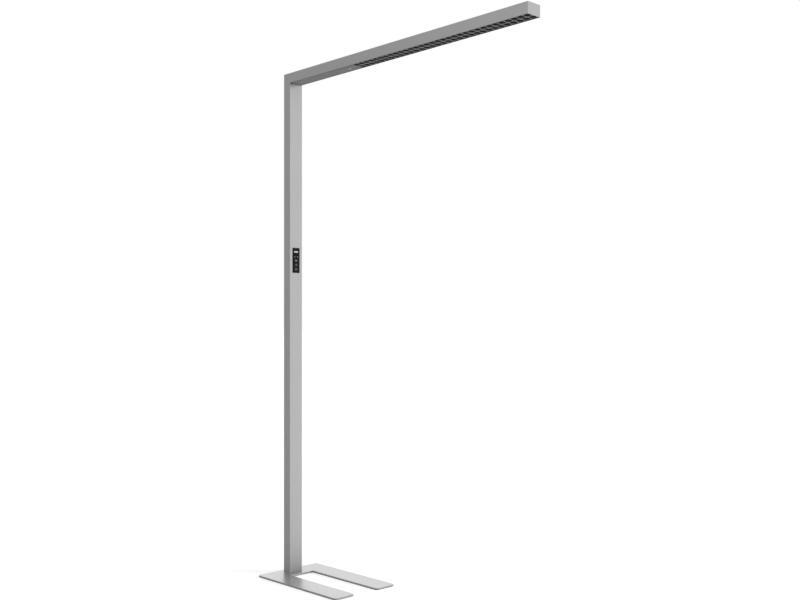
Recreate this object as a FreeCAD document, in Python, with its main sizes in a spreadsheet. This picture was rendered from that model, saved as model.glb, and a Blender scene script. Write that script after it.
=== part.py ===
import FreeCAD, Part
import math
import os
import re
import Sketcher
from FreeCAD import Rotation, Vector

# Office floor lamp: a U-shaped base plate, a slim rectangular mast and a cantilevered
# head of the same section, with a black cell louvre below and an opal strip above.
# Millimetres. +Z is up, +X runs along the head, the origin lies on the floor under the
# mast's centre line.

SIZES = [
    # whole lamp
    ("overall_height", "2000"),
    ("head_reach", "1250"),
    ("profile_width", "61"),
    ("profile_depth", "39.3"),
    ("profile_edge_radius", "0.6"),
    # clearances: nested pieces, seated pieces, threads, and how far a cut runs past a face
    ("fit_gap", "0.3"),
    ("seat_gap", "0.1"),
    ("thread_gap", "0.1"),
    ("overcut", "1"),
    # base plate and its underlay
    ("base_length", "472.2"),
    ("base_width", "294.5"),
    ("base_rear_overhang", "13.1"),
    ("base_corner_radius", "10"),
    ("slot_width", "109.3"),
    ("slot_setback", "39.2"),
    ("slot_corner_radius", "2"),
    ("plate_thickness", "6"),
    ("plate_edge_radius", "0.5"),
    ("underlay_thickness", "1.5"),
    ("underlay_inset", "2"),
    # foot block inside the mast, with the post that carries the terminal block
    ("foot_block_height", "40"),
    ("foot_post_thickness", "4"),
    ("foot_post_width", "28"),
    ("foot_post_height", "84"),
    ("base_screw_radius", "3"),
    ("base_screw_head_radius", "5.6"),
    ("base_screw_length", "20"),
    ("base_screw_margin", "8"),
    # countersunk screws through the mast's rear wall
    ("wall_screw_radius", "2"),
    ("wall_screw_head_radius", "3.6"),
    ("foot_screw_length", "14"),
    ("foot_screw_spacing", "18"),
    ("foot_screw_clearance", "5"),
    ("screw_rim", "0.3"),
    # terminal block
    ("terminal_depth", "12"),
    ("terminal_width", "26"),
    ("terminal_height", "20"),
    ("terminal_well_radius", "2"),
    ("terminal_well_depth", "3"),
    ("terminal_screw_radius", "1.5"),
    ("terminal_screw_head_radius", "2.6"),
    # mains inlet gland
    ("gland_height", "75"),
    ("gland_bore_radius", "3.8"),
    ("gland_barrel_radius", "6"),
    ("gland_flange_radius", "8.5"),
    ("gland_flange_thickness", "2.5"),
    ("gland_inner_length", "6.5"),
    ("gland_nut_half_width", "8.5"),
    ("gland_nut_thickness", "4"),
    # mast tube
    ("mast_wall", "2.2"),
    # corner bracket
    ("corner_mast_leg", "80"),
    ("corner_head_leg", "60"),
    ("corner_web_radius", "6"),
    ("corner_screw_drop", "22"),
    ("corner_screw_spacing", "36"),
    ("corner_screw_margin", "10"),
    ("grub_screw_radius", "2.5"),
    ("grub_socket_radius", "1.4"),
    ("grub_first", "22"),
    ("grub_spacing", "24"),
    # head extrusion
    ("head_wall", "2"),
    ("upper_chamber", "10"),
    ("web_thickness", "1.8"),
    ("optic_space", "7.2"),
    ("shelf_thickness", "1.5"),
    ("shelf_depth", "2.5"),
    ("bead_height", "0.8"),
    ("bead_depth", "0.5"),
    ("port_gap", "1.4"),
    ("port_radius", "1.5"),
    ("rib_depth", "1.2"),
    ("rib_thickness", "1"),
    ("rib_drop", "1.6"),
    ("uplight_lip", "6"),
    ("end_cap_thickness", "1.5"),
    ("end_cap_peg_length", "12"),
    # louvre modules
    ("cell_pitch", "26.1"),
    ("cell_ridge", "2.1"),
    ("louvre_side_rim", "3.25"),
    ("cell_throat", "14"),
    ("louvre_plate", "1.6"),
    ("cup_wall", "0.8"),
    ("louvre_rim", "1.2"),
    ("module_gap", "0.2"),
    # lens arrays
    ("lens_plate_thickness", "1.5"),
    ("lens_clearance", "1"),
    ("lens_taper", "1.2"),
    ("lens_drop", "3.2"),
    # light-emitting boards
    ("board_thickness", "1.6"),
    ("board_side_gap", "4"),
    ("board_end_gap", "0.6"),
    ("chip_size", "5"),
    ("chip_height", "0.7"),
    ("board_screw_radius", "1.5"),
    ("board_screw_head_radius", "2.8"),
    ("board_screw_head_height", "1.4"),
    # closed cover between mast and louvre
    ("cover_thickness", "1.5"),
    ("cover_flange_height", "6"),
    ("cover_flange_thickness", "1.2"),
    # presence and daylight sensor
    ("sensor_setback", "44"),
    ("sensor_lens_radius", "5.4"),
    ("sensor_lens_drop", "2"),
    ("sensor_flange_margin", "1.6"),
    ("sensor_flange_thickness", "1"),
    ("sensor_housing_length", "40"),
    ("sensor_housing_width", "20"),
    ("sensor_housing_height", "12"),
    ("sensor_housing_wall", "1.5"),
    ("sensor_post_size", "3"),
    ("sensor_post_length", "4"),
    ("sensor_can_radius", "4.2"),
    # driver
    ("driver_bracket_gap", "16"),
    ("driver_sensor_gap", "14"),
    ("driver_length", "196"),
    ("driver_width", "30"),
    ("driver_floor_gap", "2.2"),
    ("driver_tab_length", "12"),
    ("driver_tab_inset", "5"),
    ("driver_tab_thickness", "3"),
    ("driver_screw_head_radius", "3.6"),
    ("driver_screw_head_height", "2.2"),
    # leads inside the tubes
    ("mains_lead_radius", "3.25"),
    ("mains_lead_bend", "14"),
    ("mains_lead_offset", "9"),
    ("keypad_lead_radius", "2"),
    ("keypad_lead_bend", "12"),
    ("keypad_lead_offset", "8"),
    ("small_lead_radius", "1.2"),
    ("small_lead_inset", "2.5"),
    ("small_lead_bend", "3"),
    ("uplight_lead_rise_setback", "38"),
    # control panel on the mast
    ("panel_bottom_height", "1203"),
    ("panel_side_margin", "5.5"),
    ("panel_foot_margin", "7.45"),
    ("panel_head_margin", "12.2"),
    ("panel_corner_radius", "2"),
    ("panel_flange", "0.8"),
    ("panel_lip", "1.5"),
    ("panel_face", "1.8"),
    ("panel_depth", "10.5"),
    ("panel_wall", "1.4"),
    ("clip_width", "10"),
    ("clip_depth", "3"),
    ("clip_bite", "1.1"),
    ("key_width", "24"),
    ("key_length", "14.5"),
    ("key_gap", "2.8"),
    ("pair_length", "10"),
    ("pair_gap", "3.6"),
    ("window_gap", "10.1"),
    ("window_length", "8.5"),
    ("window_inset", "1"),
    ("key_proud", "0.5"),
    ("key_edge_radius", "0.35"),
    ("key_play", "0.2"),
    ("key_flange", "0.8"),
    ("key_flange_margin", "0.9"),
    ("key_travel", "0.8"),
    ("stem_radius", "1.4"),
    ("stem_entry", "0.2"),
    ("switch_gap", "0.7"),
    ("switch_size", "6"),
    ("switch_height", "3.5"),
    ("switch_bore_radius", "1.8"),
    ("panel_post_radius", "2.4"),
    ("connector_width", "8"),
    ("connector_height", "6"),
    ("connector_reach", "1"),
]

MODULES = 4
KEY_ROWS = 3

# Formulas of the sizes, in the sheet's own names.
MAST_FRONT = "(profile_depth / 2)"
MAST_REAR = "(-profile_depth / 2)"
MAST_REAR_INNER = f"({MAST_REAR} + mast_wall)"
MAST_FRONT_INNER = f"({MAST_FRONT} - mast_wall)"
HALF_WIDTH = "(profile_width / 2)"
MAST_HALF_INNER = f"({HALF_WIDTH} - mast_wall)"
HEAD_HALF_INNER = f"({HALF_WIDTH} - head_wall)"
PLATE_TOP = "(underlay_thickness + plate_thickness)"
BASE_REAR = f"({MAST_REAR} - base_rear_overhang)"
BASE_FRONT = f"({BASE_REAR} + base_length)"
SLOT_REAR = f"({MAST_FRONT} + slot_setback)"
FOOT_TOP = f"({PLATE_TOP} + foot_block_height)"
POST_FRONT = f"({MAST_FRONT_INNER} - fit_gap)"
POST_REAR = f"({POST_FRONT} - foot_post_thickness)"
POST_TOP = f"({FOOT_TOP} + foot_post_height)"
TERMINAL_TOP = f"({POST_TOP} - overcut)"
TERMINAL_REAR = f"({POST_REAR} - terminal_depth)"
HEAD_BOTTOM = "(overall_height - profile_depth)"
HEAD_TIP = f"({MAST_REAR} + head_reach)"
HEAD_END = f"({HEAD_TIP} - end_cap_thickness)"
WEB_TOP = "(overall_height - head_wall - upper_chamber)"
WEB_BOTTOM = f"({WEB_TOP} - web_thickness)"
SHELF_TOP = f"({WEB_BOTTOM} - optic_space)"
SHELF_BOTTOM = f"({SHELF_TOP} - shelf_thickness)"
BEAD_TOP = f"({HEAD_BOTTOM} + bead_height)"
LOUVRE_TOP = f"({SHELF_BOTTOM} - seat_gap)"
LOUVRE_HEIGHT = f"({LOUVRE_TOP} - {BEAD_TOP})"
DRIVER_REAR = f"({MAST_FRONT} + corner_head_leg + driver_bracket_gap + driver_tab_length)"
DRIVER_FRONT = f"({DRIVER_REAR} + driver_length)"
# the closed cover is at least long enough for the driver and the sensor, and the louvre
# takes as many whole cells as the rest of the head holds
LEAST_LIGHT_START = (
    f"({DRIVER_FRONT} + driver_sensor_gap + sensor_housing_length / 2 + sensor_setback)"
)
CELLS = f"floor(({HEAD_END} - {LEAST_LIGHT_START}) / ({MODULES} * cell_pitch))"
MODULE_PITCH = f"({CELLS} * cell_pitch)"
LIGHT_START = f"({HEAD_END} - {MODULES} * {MODULE_PITCH} - module_gap)"
LOUVRE_HALF = f"({HEAD_HALF_INNER} - seat_gap * 2)"
MOUTH_LENGTH = "(cell_pitch - cell_ridge)"
MOUTH_WIDTH = f"({LOUVRE_HALF} - louvre_side_rim - cell_ridge / 2)"
ROW_Y = f"(cell_ridge / 2 + {MOUTH_WIDTH} / 2)"
CUP_TAPER = f"atan(({MOUTH_LENGTH} - cell_throat) / 2 / {LOUVRE_HEIGHT})"
THROAT_WIDTH = f"({MOUTH_WIDTH} - {MOUTH_LENGTH} + cell_throat)"
LENS_RADIUS = f"(min(cell_throat; {THROAT_WIDTH}) / 2 - lens_clearance)"
LENS_TIP_RADIUS = f"({LENS_RADIUS} - lens_taper)"
PORT_SIZE = "(upper_chamber - rib_drop - rib_thickness - port_gap)"
PORT_Y = f"({HEAD_HALF_INNER} - {PORT_SIZE} / 2)"
UPLIGHT_SLOT_HALF = f"({HEAD_HALF_INNER} - uplight_lip)"
DOWNLIGHT_BOARD_HALF = f"({HEAD_HALF_INNER} - board_side_gap)"
UPLIGHT_BOARD_HALF = f"({HEAD_HALF_INNER} - {PORT_SIZE} - board_side_gap)"
COVER_TOP = f"({BEAD_TOP} + cover_thickness)"
COVER_HALF = f"({HEAD_HALF_INNER} - seat_gap * 2)"
SENSOR_X = f"({LIGHT_START} - sensor_setback)"
DRIVER_BOTTOM = f"({COVER_TOP} + driver_floor_gap)"
SMALL_LEAD_Y = "(driver_width / 2 - small_lead_inset)"
# both leads from the mast run midway between the cover and the corner bracket
LEAD_Z = f"(({COVER_TOP} + {SHELF_TOP}) / 2)"
FOOT_HALF_DEPTH = f"({MAST_FRONT_INNER} - fit_gap)"
FOOT_HALF_WIDTH = f"({MAST_HALF_INNER} - fit_gap)"
BASE_SCREW_X = f"({FOOT_HALF_DEPTH} - base_screw_margin)"
BASE_SCREW_Y = f"({FOOT_HALF_WIDTH} - base_screw_margin)"
FOOT_SCREW_Z = f"({PLATE_TOP} + base_screw_length + foot_screw_clearance)"
CORNER_SCREW_Y = f"({FOOT_HALF_WIDTH} - corner_screw_margin)"
PANEL_HALF = "(key_width / 2 + panel_side_margin)"
PANEL_LENGTH = (
    f"(panel_foot_margin + {KEY_ROWS} * (key_length + key_gap) + pair_length"
    " + window_gap + window_length + panel_head_margin)"
)
PANEL_TOP = f"(panel_bottom_height + {PANEL_LENGTH})"
PANEL_FACE = f"({MAST_FRONT} + panel_flange)"
PANEL_BACK = f"({MAST_FRONT} - panel_depth)"
BOX_HALF = f"({PANEL_HALF} - panel_lip - key_play)"
BOX_BOTTOM = "(panel_bottom_height + panel_lip + key_play)"
BOX_TOP = f"({PANEL_TOP} - panel_lip - key_play)"
KEY_SEAT = f"({PANEL_FACE} - panel_face - seat_gap)"
KEY_BACK = f"({KEY_SEAT} - key_flange)"
SWITCH_FACE = f"({KEY_BACK} - key_travel - switch_gap)"
SWITCH_BACK = f"({SWITCH_FACE} - switch_height)"
KEYPAD_BACK = f"({SWITCH_BACK} - board_thickness)"
PAIR_WIDTH = "((key_width - pair_gap) / 2)"
PAIR_Y = f"(pair_gap / 2 + {PAIR_WIDTH} / 2)"
PAIR_Z = (
    f"(panel_bottom_height + panel_foot_margin + {KEY_ROWS} * (key_length + key_gap)"
    " + pair_length / 2)"
)
WINDOW_Z = f"({PAIR_Z} + pair_length / 2 + window_gap + window_length / 2)"
UPPER_POST_Z = f"({WINDOW_Z} + window_length / 2 + panel_post_radius + key_flange_margin * 2 + key_play)"
LOWER_POST_Z = f"({PAIR_Z} + pair_length / 2 + window_gap / 2)"
KEYPAD_LEAD_X = f"({PANEL_BACK} - connector_reach - keypad_lead_radius)"
CONNECTOR_TOP = f"({WINDOW_Z} + window_length / 2)"
MAINS_LEAD_X = f"({TERMINAL_REAR} + mains_lead_radius + seat_gap)"

document = FreeCAD.newDocument("office_floor_lamp")
sheet = document.addObject("Spreadsheet::Sheet", "sizes")
for row, (alias, value) in enumerate(SIZES, start=1):
    sheet.set(f"A{row}", alias)
    sheet.set(f"B{row}", value)
    sheet.setAlias(f"B{row}", alias)
document.recompute()

ALIASES = {alias for alias, value in SIZES}
SUBPARTS = []


def bound(formula):
    """The formula with each size name pointing at its cell."""
    return re.sub(
        r"[a-z_]+",
        lambda word: f"sizes.{word.group()}" if word.group() in ALIASES else word.group(),
        formula,
    )


def number(formula):
    """The formula's present value."""
    return float(sheet.evalExpression(bound(formula)))


# ---- sketches and features ---------------------------------------------------------


def new_body(name):
    """A body that is a sub-part of the lamp."""
    body = document.addObject("PartDesign::Body", name)
    body.Label = name
    SUBPARTS.append(body)
    return body


def origin_feature(body, role):
    return next(item for item in body.Origin.OriginFeatures if item.Role == role)


def new_sketch(body, name, plane, level):
    """A sketch parallel to an origin plane, at a level along the plane's own axis."""
    sketch = body.newObject("Sketcher::SketchObject", name)
    sketch.AttachmentSupport = [(origin_feature(body, plane), "")]
    sketch.MapMode = "FlatFace"
    sign = "-" if plane == "XZ_Plane" else ""
    sketch.setExpression("AttachmentOffset.Base.z", bound(f"{sign}({level})"))
    return sketch


def pin_point(sketch, geometry, vertex, across, along):
    """Hold a point of the sketch at two formulas from the sketch's origin."""
    for kind, formula in (("DistanceX", across), ("DistanceY", along)):
        constraint = Sketcher.Constraint(kind, -1, 1, geometry, vertex, number(formula))
        index = sketch.addConstraint(constraint)
        sketch.setExpression(f"Constraints[{index}]", bound(formula))


def outline(corners):
    """A closed outline through corners given as pairs of formulas."""

    def draw(sketch):
        points = [Vector(number(across), number(along), 0) for across, along in corners]
        first = sketch.GeometryCount
        count = len(points)
        for index in range(count):
            segment = Part.LineSegment(points[index], points[(index + 1) % count])
            sketch.addGeometry(segment, False)
        for index, (across, along) in enumerate(corners):
            previous = first + (index - 1) % count
            sketch.addConstraint(Sketcher.Constraint("Coincident", previous, 2, first + index, 1))
            pin_point(sketch, first + index, 1, across, along)

    return draw


def rectangle(low_across, low_along, high_across, high_along):
    return outline([
        (low_across, low_along),
        (high_across, low_along),
        (high_across, high_along),
        (low_across, high_along),
    ])


def centred(across, along, width, length):
    """A rectangle about a centre."""
    return rectangle(
        f"{across} - ({width}) / 2",
        f"{along} - ({length}) / 2",
        f"{across} + ({width}) / 2",
        f"{along} + ({length}) / 2",
    )


def disc(across, along, radius):
    def draw(sketch):
        centre = Vector(number(across), number(along), 0)
        geometry = sketch.addGeometry(Part.Circle(centre, Vector(0, 0, 1), number(radius)), False)
        pin_point(sketch, geometry, 3, across, along)
        index = sketch.addConstraint(Sketcher.Constraint("Radius", geometry, number(radius)))
        sketch.setExpression(f"Constraints[{index}]", bound(radius))

    return draw


def hexagon(across, along, half_width):
    """A hexagon given by half its width across the flats."""
    corners = []
    for step in range(6):
        turn = math.radians(60 * step)
        reach = f"({half_width}) / cos(30)"
        corners.append((
            f"{across} + {math.cos(turn):.9f} * {reach}",
            f"{along} + {math.sin(turn):.9f} * {reach}",
        ))
    return outline(corners)


def mirrored(half):
    """An outline from its half on the positive side, closed about the vertical axis."""
    return outline(half + [(f"-({across})", along) for across, along in reversed(half)])


def prism(body, name, plane, low, high, drawings, cut=False, taper=None):
    """A pad or pocket between two levels along the plane's axis."""
    sketch = new_sketch(body, f"{name}_sketch", plane, low)
    for draw in drawings:
        draw(sketch)
    feature = body.newObject("PartDesign::Pocket" if cut else "PartDesign::Pad", name)
    feature.Profile = sketch
    feature.Reversed = cut != (plane == "XZ_Plane")
    feature.setExpression("Length", bound(f"({high}) - ({low})"))
    if taper:
        feature.setExpression("TaperAngle", bound(taper))
    sketch.Visibility = False
    return feature


def pocket(body, name, plane, low, high, drawings, taper=None):
    return prism(body, name, plane, low, high, drawings, cut=True, taper=taper)


def turned(body, name, plane, corners):
    """A solid of revolution about the sketch's vertical axis."""
    sketch = new_sketch(body, f"{name}_sketch", plane, "0")
    outline(corners)(sketch)
    feature = body.newObject("PartDesign::Revolution", name)
    feature.Profile = sketch
    feature.ReferenceAxis = (sketch, ["V_Axis"])
    feature.Angle = 360
    sketch.Visibility = False
    return feature


def cell_pattern(body, originals, mirror=True):
    """Repeat features cell by cell along the head, and in the second row."""
    pattern = body.newObject("PartDesign::MultiTransform", f"{body.Name}_cells")
    pattern.Originals = originals
    along = body.newObject("PartDesign::LinearPattern", f"{body.Name}_along")
    along.Direction = (origin_feature(body, "X_Axis"), [""])
    along.Mode = "Spacing"
    along.setExpression("Offset", bound("cell_pitch"))
    along.setExpression("Occurrences", bound(CELLS))
    steps = [along]
    if mirror:
        across = body.newObject("PartDesign::Mirrored", f"{body.Name}_across")
        across.MirrorPlane = (origin_feature(body, "XZ_Plane"), [""])
        steps.append(across)
    pattern.Transformations = steps
    body.Tip = pattern
    return pattern


def round_edges(body, name, base, radius, wanted):
    """Round the edges of a feature that the test picks."""
    document.recompute()
    picked = [
        f"Edge{index}"
        for index, edge in enumerate(base.Shape.Edges, start=1)
        if wanted(edge)
    ]
    fillet = body.newObject("PartDesign::Fillet", name)
    fillet.Base = (base, picked)
    fillet.setExpression("Radius", bound(radius))
    return fillet


def runs_along(edge, axis):
    """Whether a straight edge is parallel to an axis."""
    if not isinstance(edge.Curve, Part.Line):
        return False
    return abs(edge.Curve.Direction.dot(axis)) > 0.999


def elbow(body, name, centre_x, centre_z, offset, bend, radius, side):
    """A quarter bend about an axis along Y, from the given side of its centre.

    side "-" runs from below-left up to the top, side "+" from the bottom to the right.
    """
    sketch = new_sketch(body, f"{name}_sketch", "XY_Plane", centre_z)
    sketch.setExpression("AttachmentOffset.Base.x", bound(centre_x))
    disc(f"{side}({bend})", offset, radius)(sketch)
    feature = body.newObject("PartDesign::Revolution", name)
    feature.Profile = sketch
    feature.ReferenceAxis = (sketch, ["V_Axis"])
    feature.Angle = 90
    sketch.Visibility = False
    return feature


# ---- fasteners -----------------------------------------------------------------------


def hex_socket(body, half_width, depth):
    """A hexagon socket sunk from Z 0 into a screw's head."""
    pocket(
        body, f"{body.Name}_socket", "XY_Plane", f"-({depth})", "overcut",
        [hexagon("0", "0", half_width)],
    )


def countersunk_screw(name, shank_radius, head_radius, length):
    """A countersunk screw with its head's top at Z 0 and its tip below."""
    body = document.addObject("PartDesign::Body", name)
    cone_end = f"-(screw_rim + {head_radius} - {shank_radius})"
    zero = "0"
    turned(body, f"{name}_solid", "XZ_Plane", [
        (zero, zero),
        (head_radius, zero),
        (head_radius, "-screw_rim"),
        (shank_radius, cone_end),
        (shank_radius, f"-({length})"),
        (zero, f"-({length})"),
    ])
    hex_socket(body, f"{shank_radius} * 0.6", f"{head_radius} * 0.4")
    return body


def pan_screw(name, shank_radius, head_radius, head_height, length):
    """A low round-headed screw, seated at Z 0 with its head above and its tip below."""
    body = document.addObject("PartDesign::Body", name)
    zero = "0"
    turned(body, f"{name}_solid", "XZ_Plane", [
        (zero, head_height),
        (f"{head_radius} * 0.8", head_height),
        (head_radius, f"{head_height} * 0.6"),
        (head_radius, zero),
        (shank_radius, zero),
        (shank_radius, f"-({length})"),
        (zero, f"-({length})"),
    ])
    pocket(
        body, f"{name}_socket", "XY_Plane", f"{head_height} * 0.4", f"{head_height} + overcut",
        [hexagon(zero, zero, f"{shank_radius} * 0.6")],
    )
    return body


def grub_screw(name, radius, socket_radius, length):
    """A headless screw from Z 0 down, with its socket at Z 0."""
    body = document.addObject("PartDesign::Body", name)
    zero = "0"
    prism(body, f"{name}_solid", "XY_Plane", f"-({length})", zero, [disc(zero, zero, radius)])
    hex_socket(body, socket_radius, f"({length}) / 2")
    return body


HEAD_DOWN = Rotation(Vector(1, 0, 0), 180)
HEAD_UP = Rotation()
HEAD_REAR = Rotation(Vector(0, 1, 0), -90)


def fastener_group(name, screw, rotation, places):
    """Identical screws as one sub-part of separate solids."""
    copies = []
    for index, place in enumerate(places, start=1):
        copy = document.addObject("App::Link", f"{name}_{index}")
        copy.LinkedObject = screw
        copy.Placement = FreeCAD.Placement(Vector(), rotation)
        for axis, formula in zip("xyz", place):
            copy.setExpression(f"Placement.Base.{axis}", bound(formula))
        copies.append(copy)
    group = document.addObject("Part::Compound", name)
    group.Label = name
    group.Links = copies
    SUBPARTS.append(group)
    return group


def both_sides(*formulas):
    """Every mix of plus and minus of the formulas."""
    if len(formulas) == 1:
        return [(f"-({formulas[0]})",), (formulas[0],)]
    return [(sign + f"({formulas[0]})",) + rest
            for sign in ("-", "") for rest in both_sides(*formulas[1:])]


# ---- base ------------------------------------------------------------------------------


def base_outline(inset):
    """The U of the base plate, open towards +X, drawn in from its edge by the inset."""
    side = f"(base_width / 2 - {inset})"
    slot_side = f"(slot_width / 2 + {inset})"
    rear = f"({BASE_REAR} + {inset})"
    front = f"({BASE_FRONT} - {inset})"
    slot_rear = f"({SLOT_REAR} - {inset})"
    return outline([
        (rear, f"-{side}"),
        (front, f"-{side}"),
        (front, f"-{slot_side}"),
        (slot_rear, f"-{slot_side}"),
        (slot_rear, slot_side),
        (front, slot_side),
        (front, side),
        (rear, side),
    ])


def is_outer_corner(edge):
    """An upright edge away from the slot's closed end."""
    return runs_along(edge, Vector(0, 0, 1)) and not is_slot_corner(edge)


def is_slot_corner(edge):
    if not runs_along(edge, Vector(0, 0, 1)):
        return False
    return abs(edge.Vertexes[0].X - number(SLOT_REAR)) < number("underlay_inset + overcut")


def base_screw_holes(radius):
    return [
        disc(across, along, radius)
        for across, along in both_sides(BASE_SCREW_X, BASE_SCREW_Y)
    ]


def make_base_plate():
    body = new_body("base_plate")
    blank = prism(
        body, "base_plate_blank", "XY_Plane", "underlay_thickness", PLATE_TOP,
        [base_outline("0")],
    )
    outer = round_edges(body, "base_plate_corners", blank, "base_corner_radius", is_outer_corner)
    inner = round_edges(body, "base_plate_slot", outer, "slot_corner_radius", is_slot_corner)
    top = number(PLATE_TOP)
    round_edges(
        body, "base_plate_rim", inner, "plate_edge_radius",
        lambda edge: all(abs(vertex.Z - top) < 1e-6 for vertex in edge.Vertexes),
    )
    pocket(
        body, "base_plate_screw_holes", "XY_Plane", "0", f"{PLATE_TOP} + overcut",
        base_screw_holes("base_screw_radius + fit_gap"),
    )
    # the countersinks narrow upwards at 45 degrees from the plate's underside
    pocket(
        body, "base_plate_countersinks", "XY_Plane", "underlay_thickness",
        "underlay_thickness + base_screw_head_radius - base_screw_radius + screw_rim",
        base_screw_holes("base_screw_head_radius + screw_rim + fit_gap"), taper="-45",
    )
    return body


def make_floor_underlay():
    body = new_body("floor_underlay")
    blank = prism(
        body, "floor_underlay_blank", "XY_Plane", "0", "underlay_thickness",
        [base_outline("underlay_inset")],
    )
    outer = round_edges(
        body, "floor_underlay_corners", blank, "base_corner_radius - underlay_inset",
        is_outer_corner,
    )
    round_edges(body, "floor_underlay_slot", outer, "slot_corner_radius", is_slot_corner)
    pocket(
        body, "floor_underlay_screw_holes", "XY_Plane", "-overcut", "underlay_thickness + overcut",
        base_screw_holes("base_screw_head_radius + fit_gap * 2"),
    )
    return body


def make_foot_block():
    """The block that fills the mast's foot, with an upright post for the terminals."""
    body = new_body("foot_block")
    prism(
        body, "foot_block_solid", "XY_Plane", PLATE_TOP, FOOT_TOP,
        [rectangle(f"-{FOOT_HALF_DEPTH}", f"-{FOOT_HALF_WIDTH}", FOOT_HALF_DEPTH,
                   FOOT_HALF_WIDTH)],
    )
    prism(
        body, "foot_block_post", "XY_Plane", FOOT_TOP, POST_TOP,
        [rectangle(POST_REAR, "-foot_post_width / 2", POST_FRONT, "foot_post_width / 2")],
    )
    pocket(
        body, "foot_block_base_holes", "XY_Plane", PLATE_TOP,
        f"{PLATE_TOP} + base_screw_length",
        base_screw_holes("base_screw_radius + thread_gap"),
    )
    pocket(
        body, "foot_block_wall_holes", "YZ_Plane", f"-{FOOT_HALF_DEPTH}",
        f"{MAST_REAR} + foot_screw_length + overcut",
        [
            disc(across, FOOT_SCREW_Z, "wall_screw_radius + thread_gap")
            for (across,) in both_sides("foot_screw_spacing / 2")
        ],
    )
    pocket(
        body, "foot_block_terminal_hole", "YZ_Plane", f"{POST_REAR} - overcut",
        f"{POST_FRONT} - seat_gap",
        [disc("0", f"{TERMINAL_TOP} - terminal_height / 2",
              "terminal_screw_radius + thread_gap")],
    )
    return body


def make_terminal_block():
    """A three-pole terminal block, its wells open towards the mast's rear wall."""
    body = new_body("terminal_block")
    level = f"({TERMINAL_TOP} - terminal_height / 2)"
    zero = "0"
    prism(
        body, "terminal_block_solid", "YZ_Plane", TERMINAL_REAR, POST_REAR,
        [centred(zero, level, "terminal_width", "terminal_height")],
    )
    wells = [
        disc(across, f"{level} {rise}", "terminal_well_radius")
        for across in ("-terminal_width / 3", "terminal_width / 3")
        for rise in ("- terminal_height / 4", "+ terminal_height / 4")
    ]
    pocket(
        body, "terminal_block_wells", "YZ_Plane", TERMINAL_REAR,
        f"{TERMINAL_REAR} + terminal_well_depth", wells,
    )
    pocket(
        body, "terminal_block_screw_hole", "YZ_Plane", f"{TERMINAL_REAR} - overcut",
        f"{POST_REAR} + overcut", [disc(zero, level, "terminal_screw_radius + thread_gap")],
    )
    pocket(
        body, "terminal_block_head_seat", "YZ_Plane", TERMINAL_REAR,
        f"{TERMINAL_REAR} + terminal_depth / 2",
        [disc(zero, level, "terminal_screw_head_radius + fit_gap")],
    )
    return body


def make_base():
    make_base_plate()
    make_floor_underlay()
    make_foot_block()
    make_terminal_block()
    screw = countersunk_screw(
        "base_screw", "base_screw_radius", "base_screw_head_radius", "base_screw_length",
    )
    fastener_group("base_screws", screw, HEAD_DOWN, [
        (across, along, "underlay_thickness + seat_gap")
        for across, along in both_sides(BASE_SCREW_X, BASE_SCREW_Y)
    ])
    terminal_screw = pan_screw(
        "terminal_pan_screw", "terminal_screw_radius", "terminal_screw_head_radius",
        "terminal_depth / 4", "terminal_depth / 2 + foot_post_thickness - seat_gap * 2",
    )
    fastener_group("terminal_screw", terminal_screw, HEAD_REAR, [
        (f"{TERMINAL_REAR} + terminal_depth / 2", "0",
         f"{TERMINAL_TOP} - terminal_height / 2"),
    ])


# ---- mast ------------------------------------------------------------------------------


def wall_screw_places():
    """The countersunk screws of the foot and of the corner, as (y, z) pairs."""
    foot = [
        (across, FOOT_SCREW_Z)
        for (across,) in both_sides("foot_screw_spacing / 2")
    ]
    corner = [
        (across, f"{HEAD_BOTTOM} - corner_screw_drop - {step} * corner_screw_spacing")
        for step in range(2)
        for (across,) in both_sides(CORNER_SCREW_Y)
    ]
    return foot, corner


def make_mast_profile():
    body = new_body("mast_profile")
    blank = prism(
        body, "mast_blank", "XY_Plane", PLATE_TOP, "overall_height",
        [rectangle(MAST_REAR, f"-{HALF_WIDTH}", MAST_FRONT, HALF_WIDTH)],
    )
    round_edges(
        body, "mast_arrises", blank, "profile_edge_radius",
        lambda edge: runs_along(edge, Vector(0, 0, 1)),
    )
    pocket(
        body, "mast_bore", "XY_Plane", f"{PLATE_TOP} - overcut", "overall_height + overcut",
        [rectangle(MAST_REAR_INNER, f"-{MAST_HALF_INNER}", MAST_FRONT_INNER, MAST_HALF_INNER)],
    )
    # the mitre falls at 45 degrees from the rear top edge to the inside of the corner
    pocket(
        body, "mast_mitre", "XZ_Plane", f"-{HALF_WIDTH} - overcut", f"{HALF_WIDTH} + overcut",
        [outline([
            (f"{MAST_REAR} - overcut", "overall_height + overcut"),
            (f"{MAST_FRONT} + overcut", f"{HEAD_BOTTOM} - overcut"),
            (f"{MAST_FRONT} + overcut", "overall_height + overcut"),
        ])],
    )
    cut_low = "(panel_bottom_height + panel_lip)"
    cut_high = f"({PANEL_TOP} - panel_lip)"
    cut_half = f"({PANEL_HALF} - panel_lip)"
    pocket(
        body, "mast_panel_opening", "YZ_Plane", "0", f"{MAST_FRONT} + overcut",
        [rectangle(f"-{cut_half}", cut_low, cut_half, cut_high)],
    )
    pocket(
        body, "mast_gland_hole", "YZ_Plane", f"{MAST_REAR} - overcut", "0",
        [disc("0", "gland_height", "gland_barrel_radius + fit_gap")],
    )
    foot, corner = wall_screw_places()
    pocket(
        body, "mast_wall_holes", "YZ_Plane", f"{MAST_REAR} - overcut", "0",
        [disc(across, along, "wall_screw_radius + fit_gap") for across, along in foot + corner],
    )
    pocket(
        body, "mast_countersinks", "YZ_Plane", MAST_REAR,
        f"{MAST_REAR} + wall_screw_head_radius - wall_screw_radius + screw_rim",
        [disc(across, along, "wall_screw_head_radius + screw_rim + fit_gap")
         for across, along in foot + corner],
        taper="-45",
    )
    return body


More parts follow.
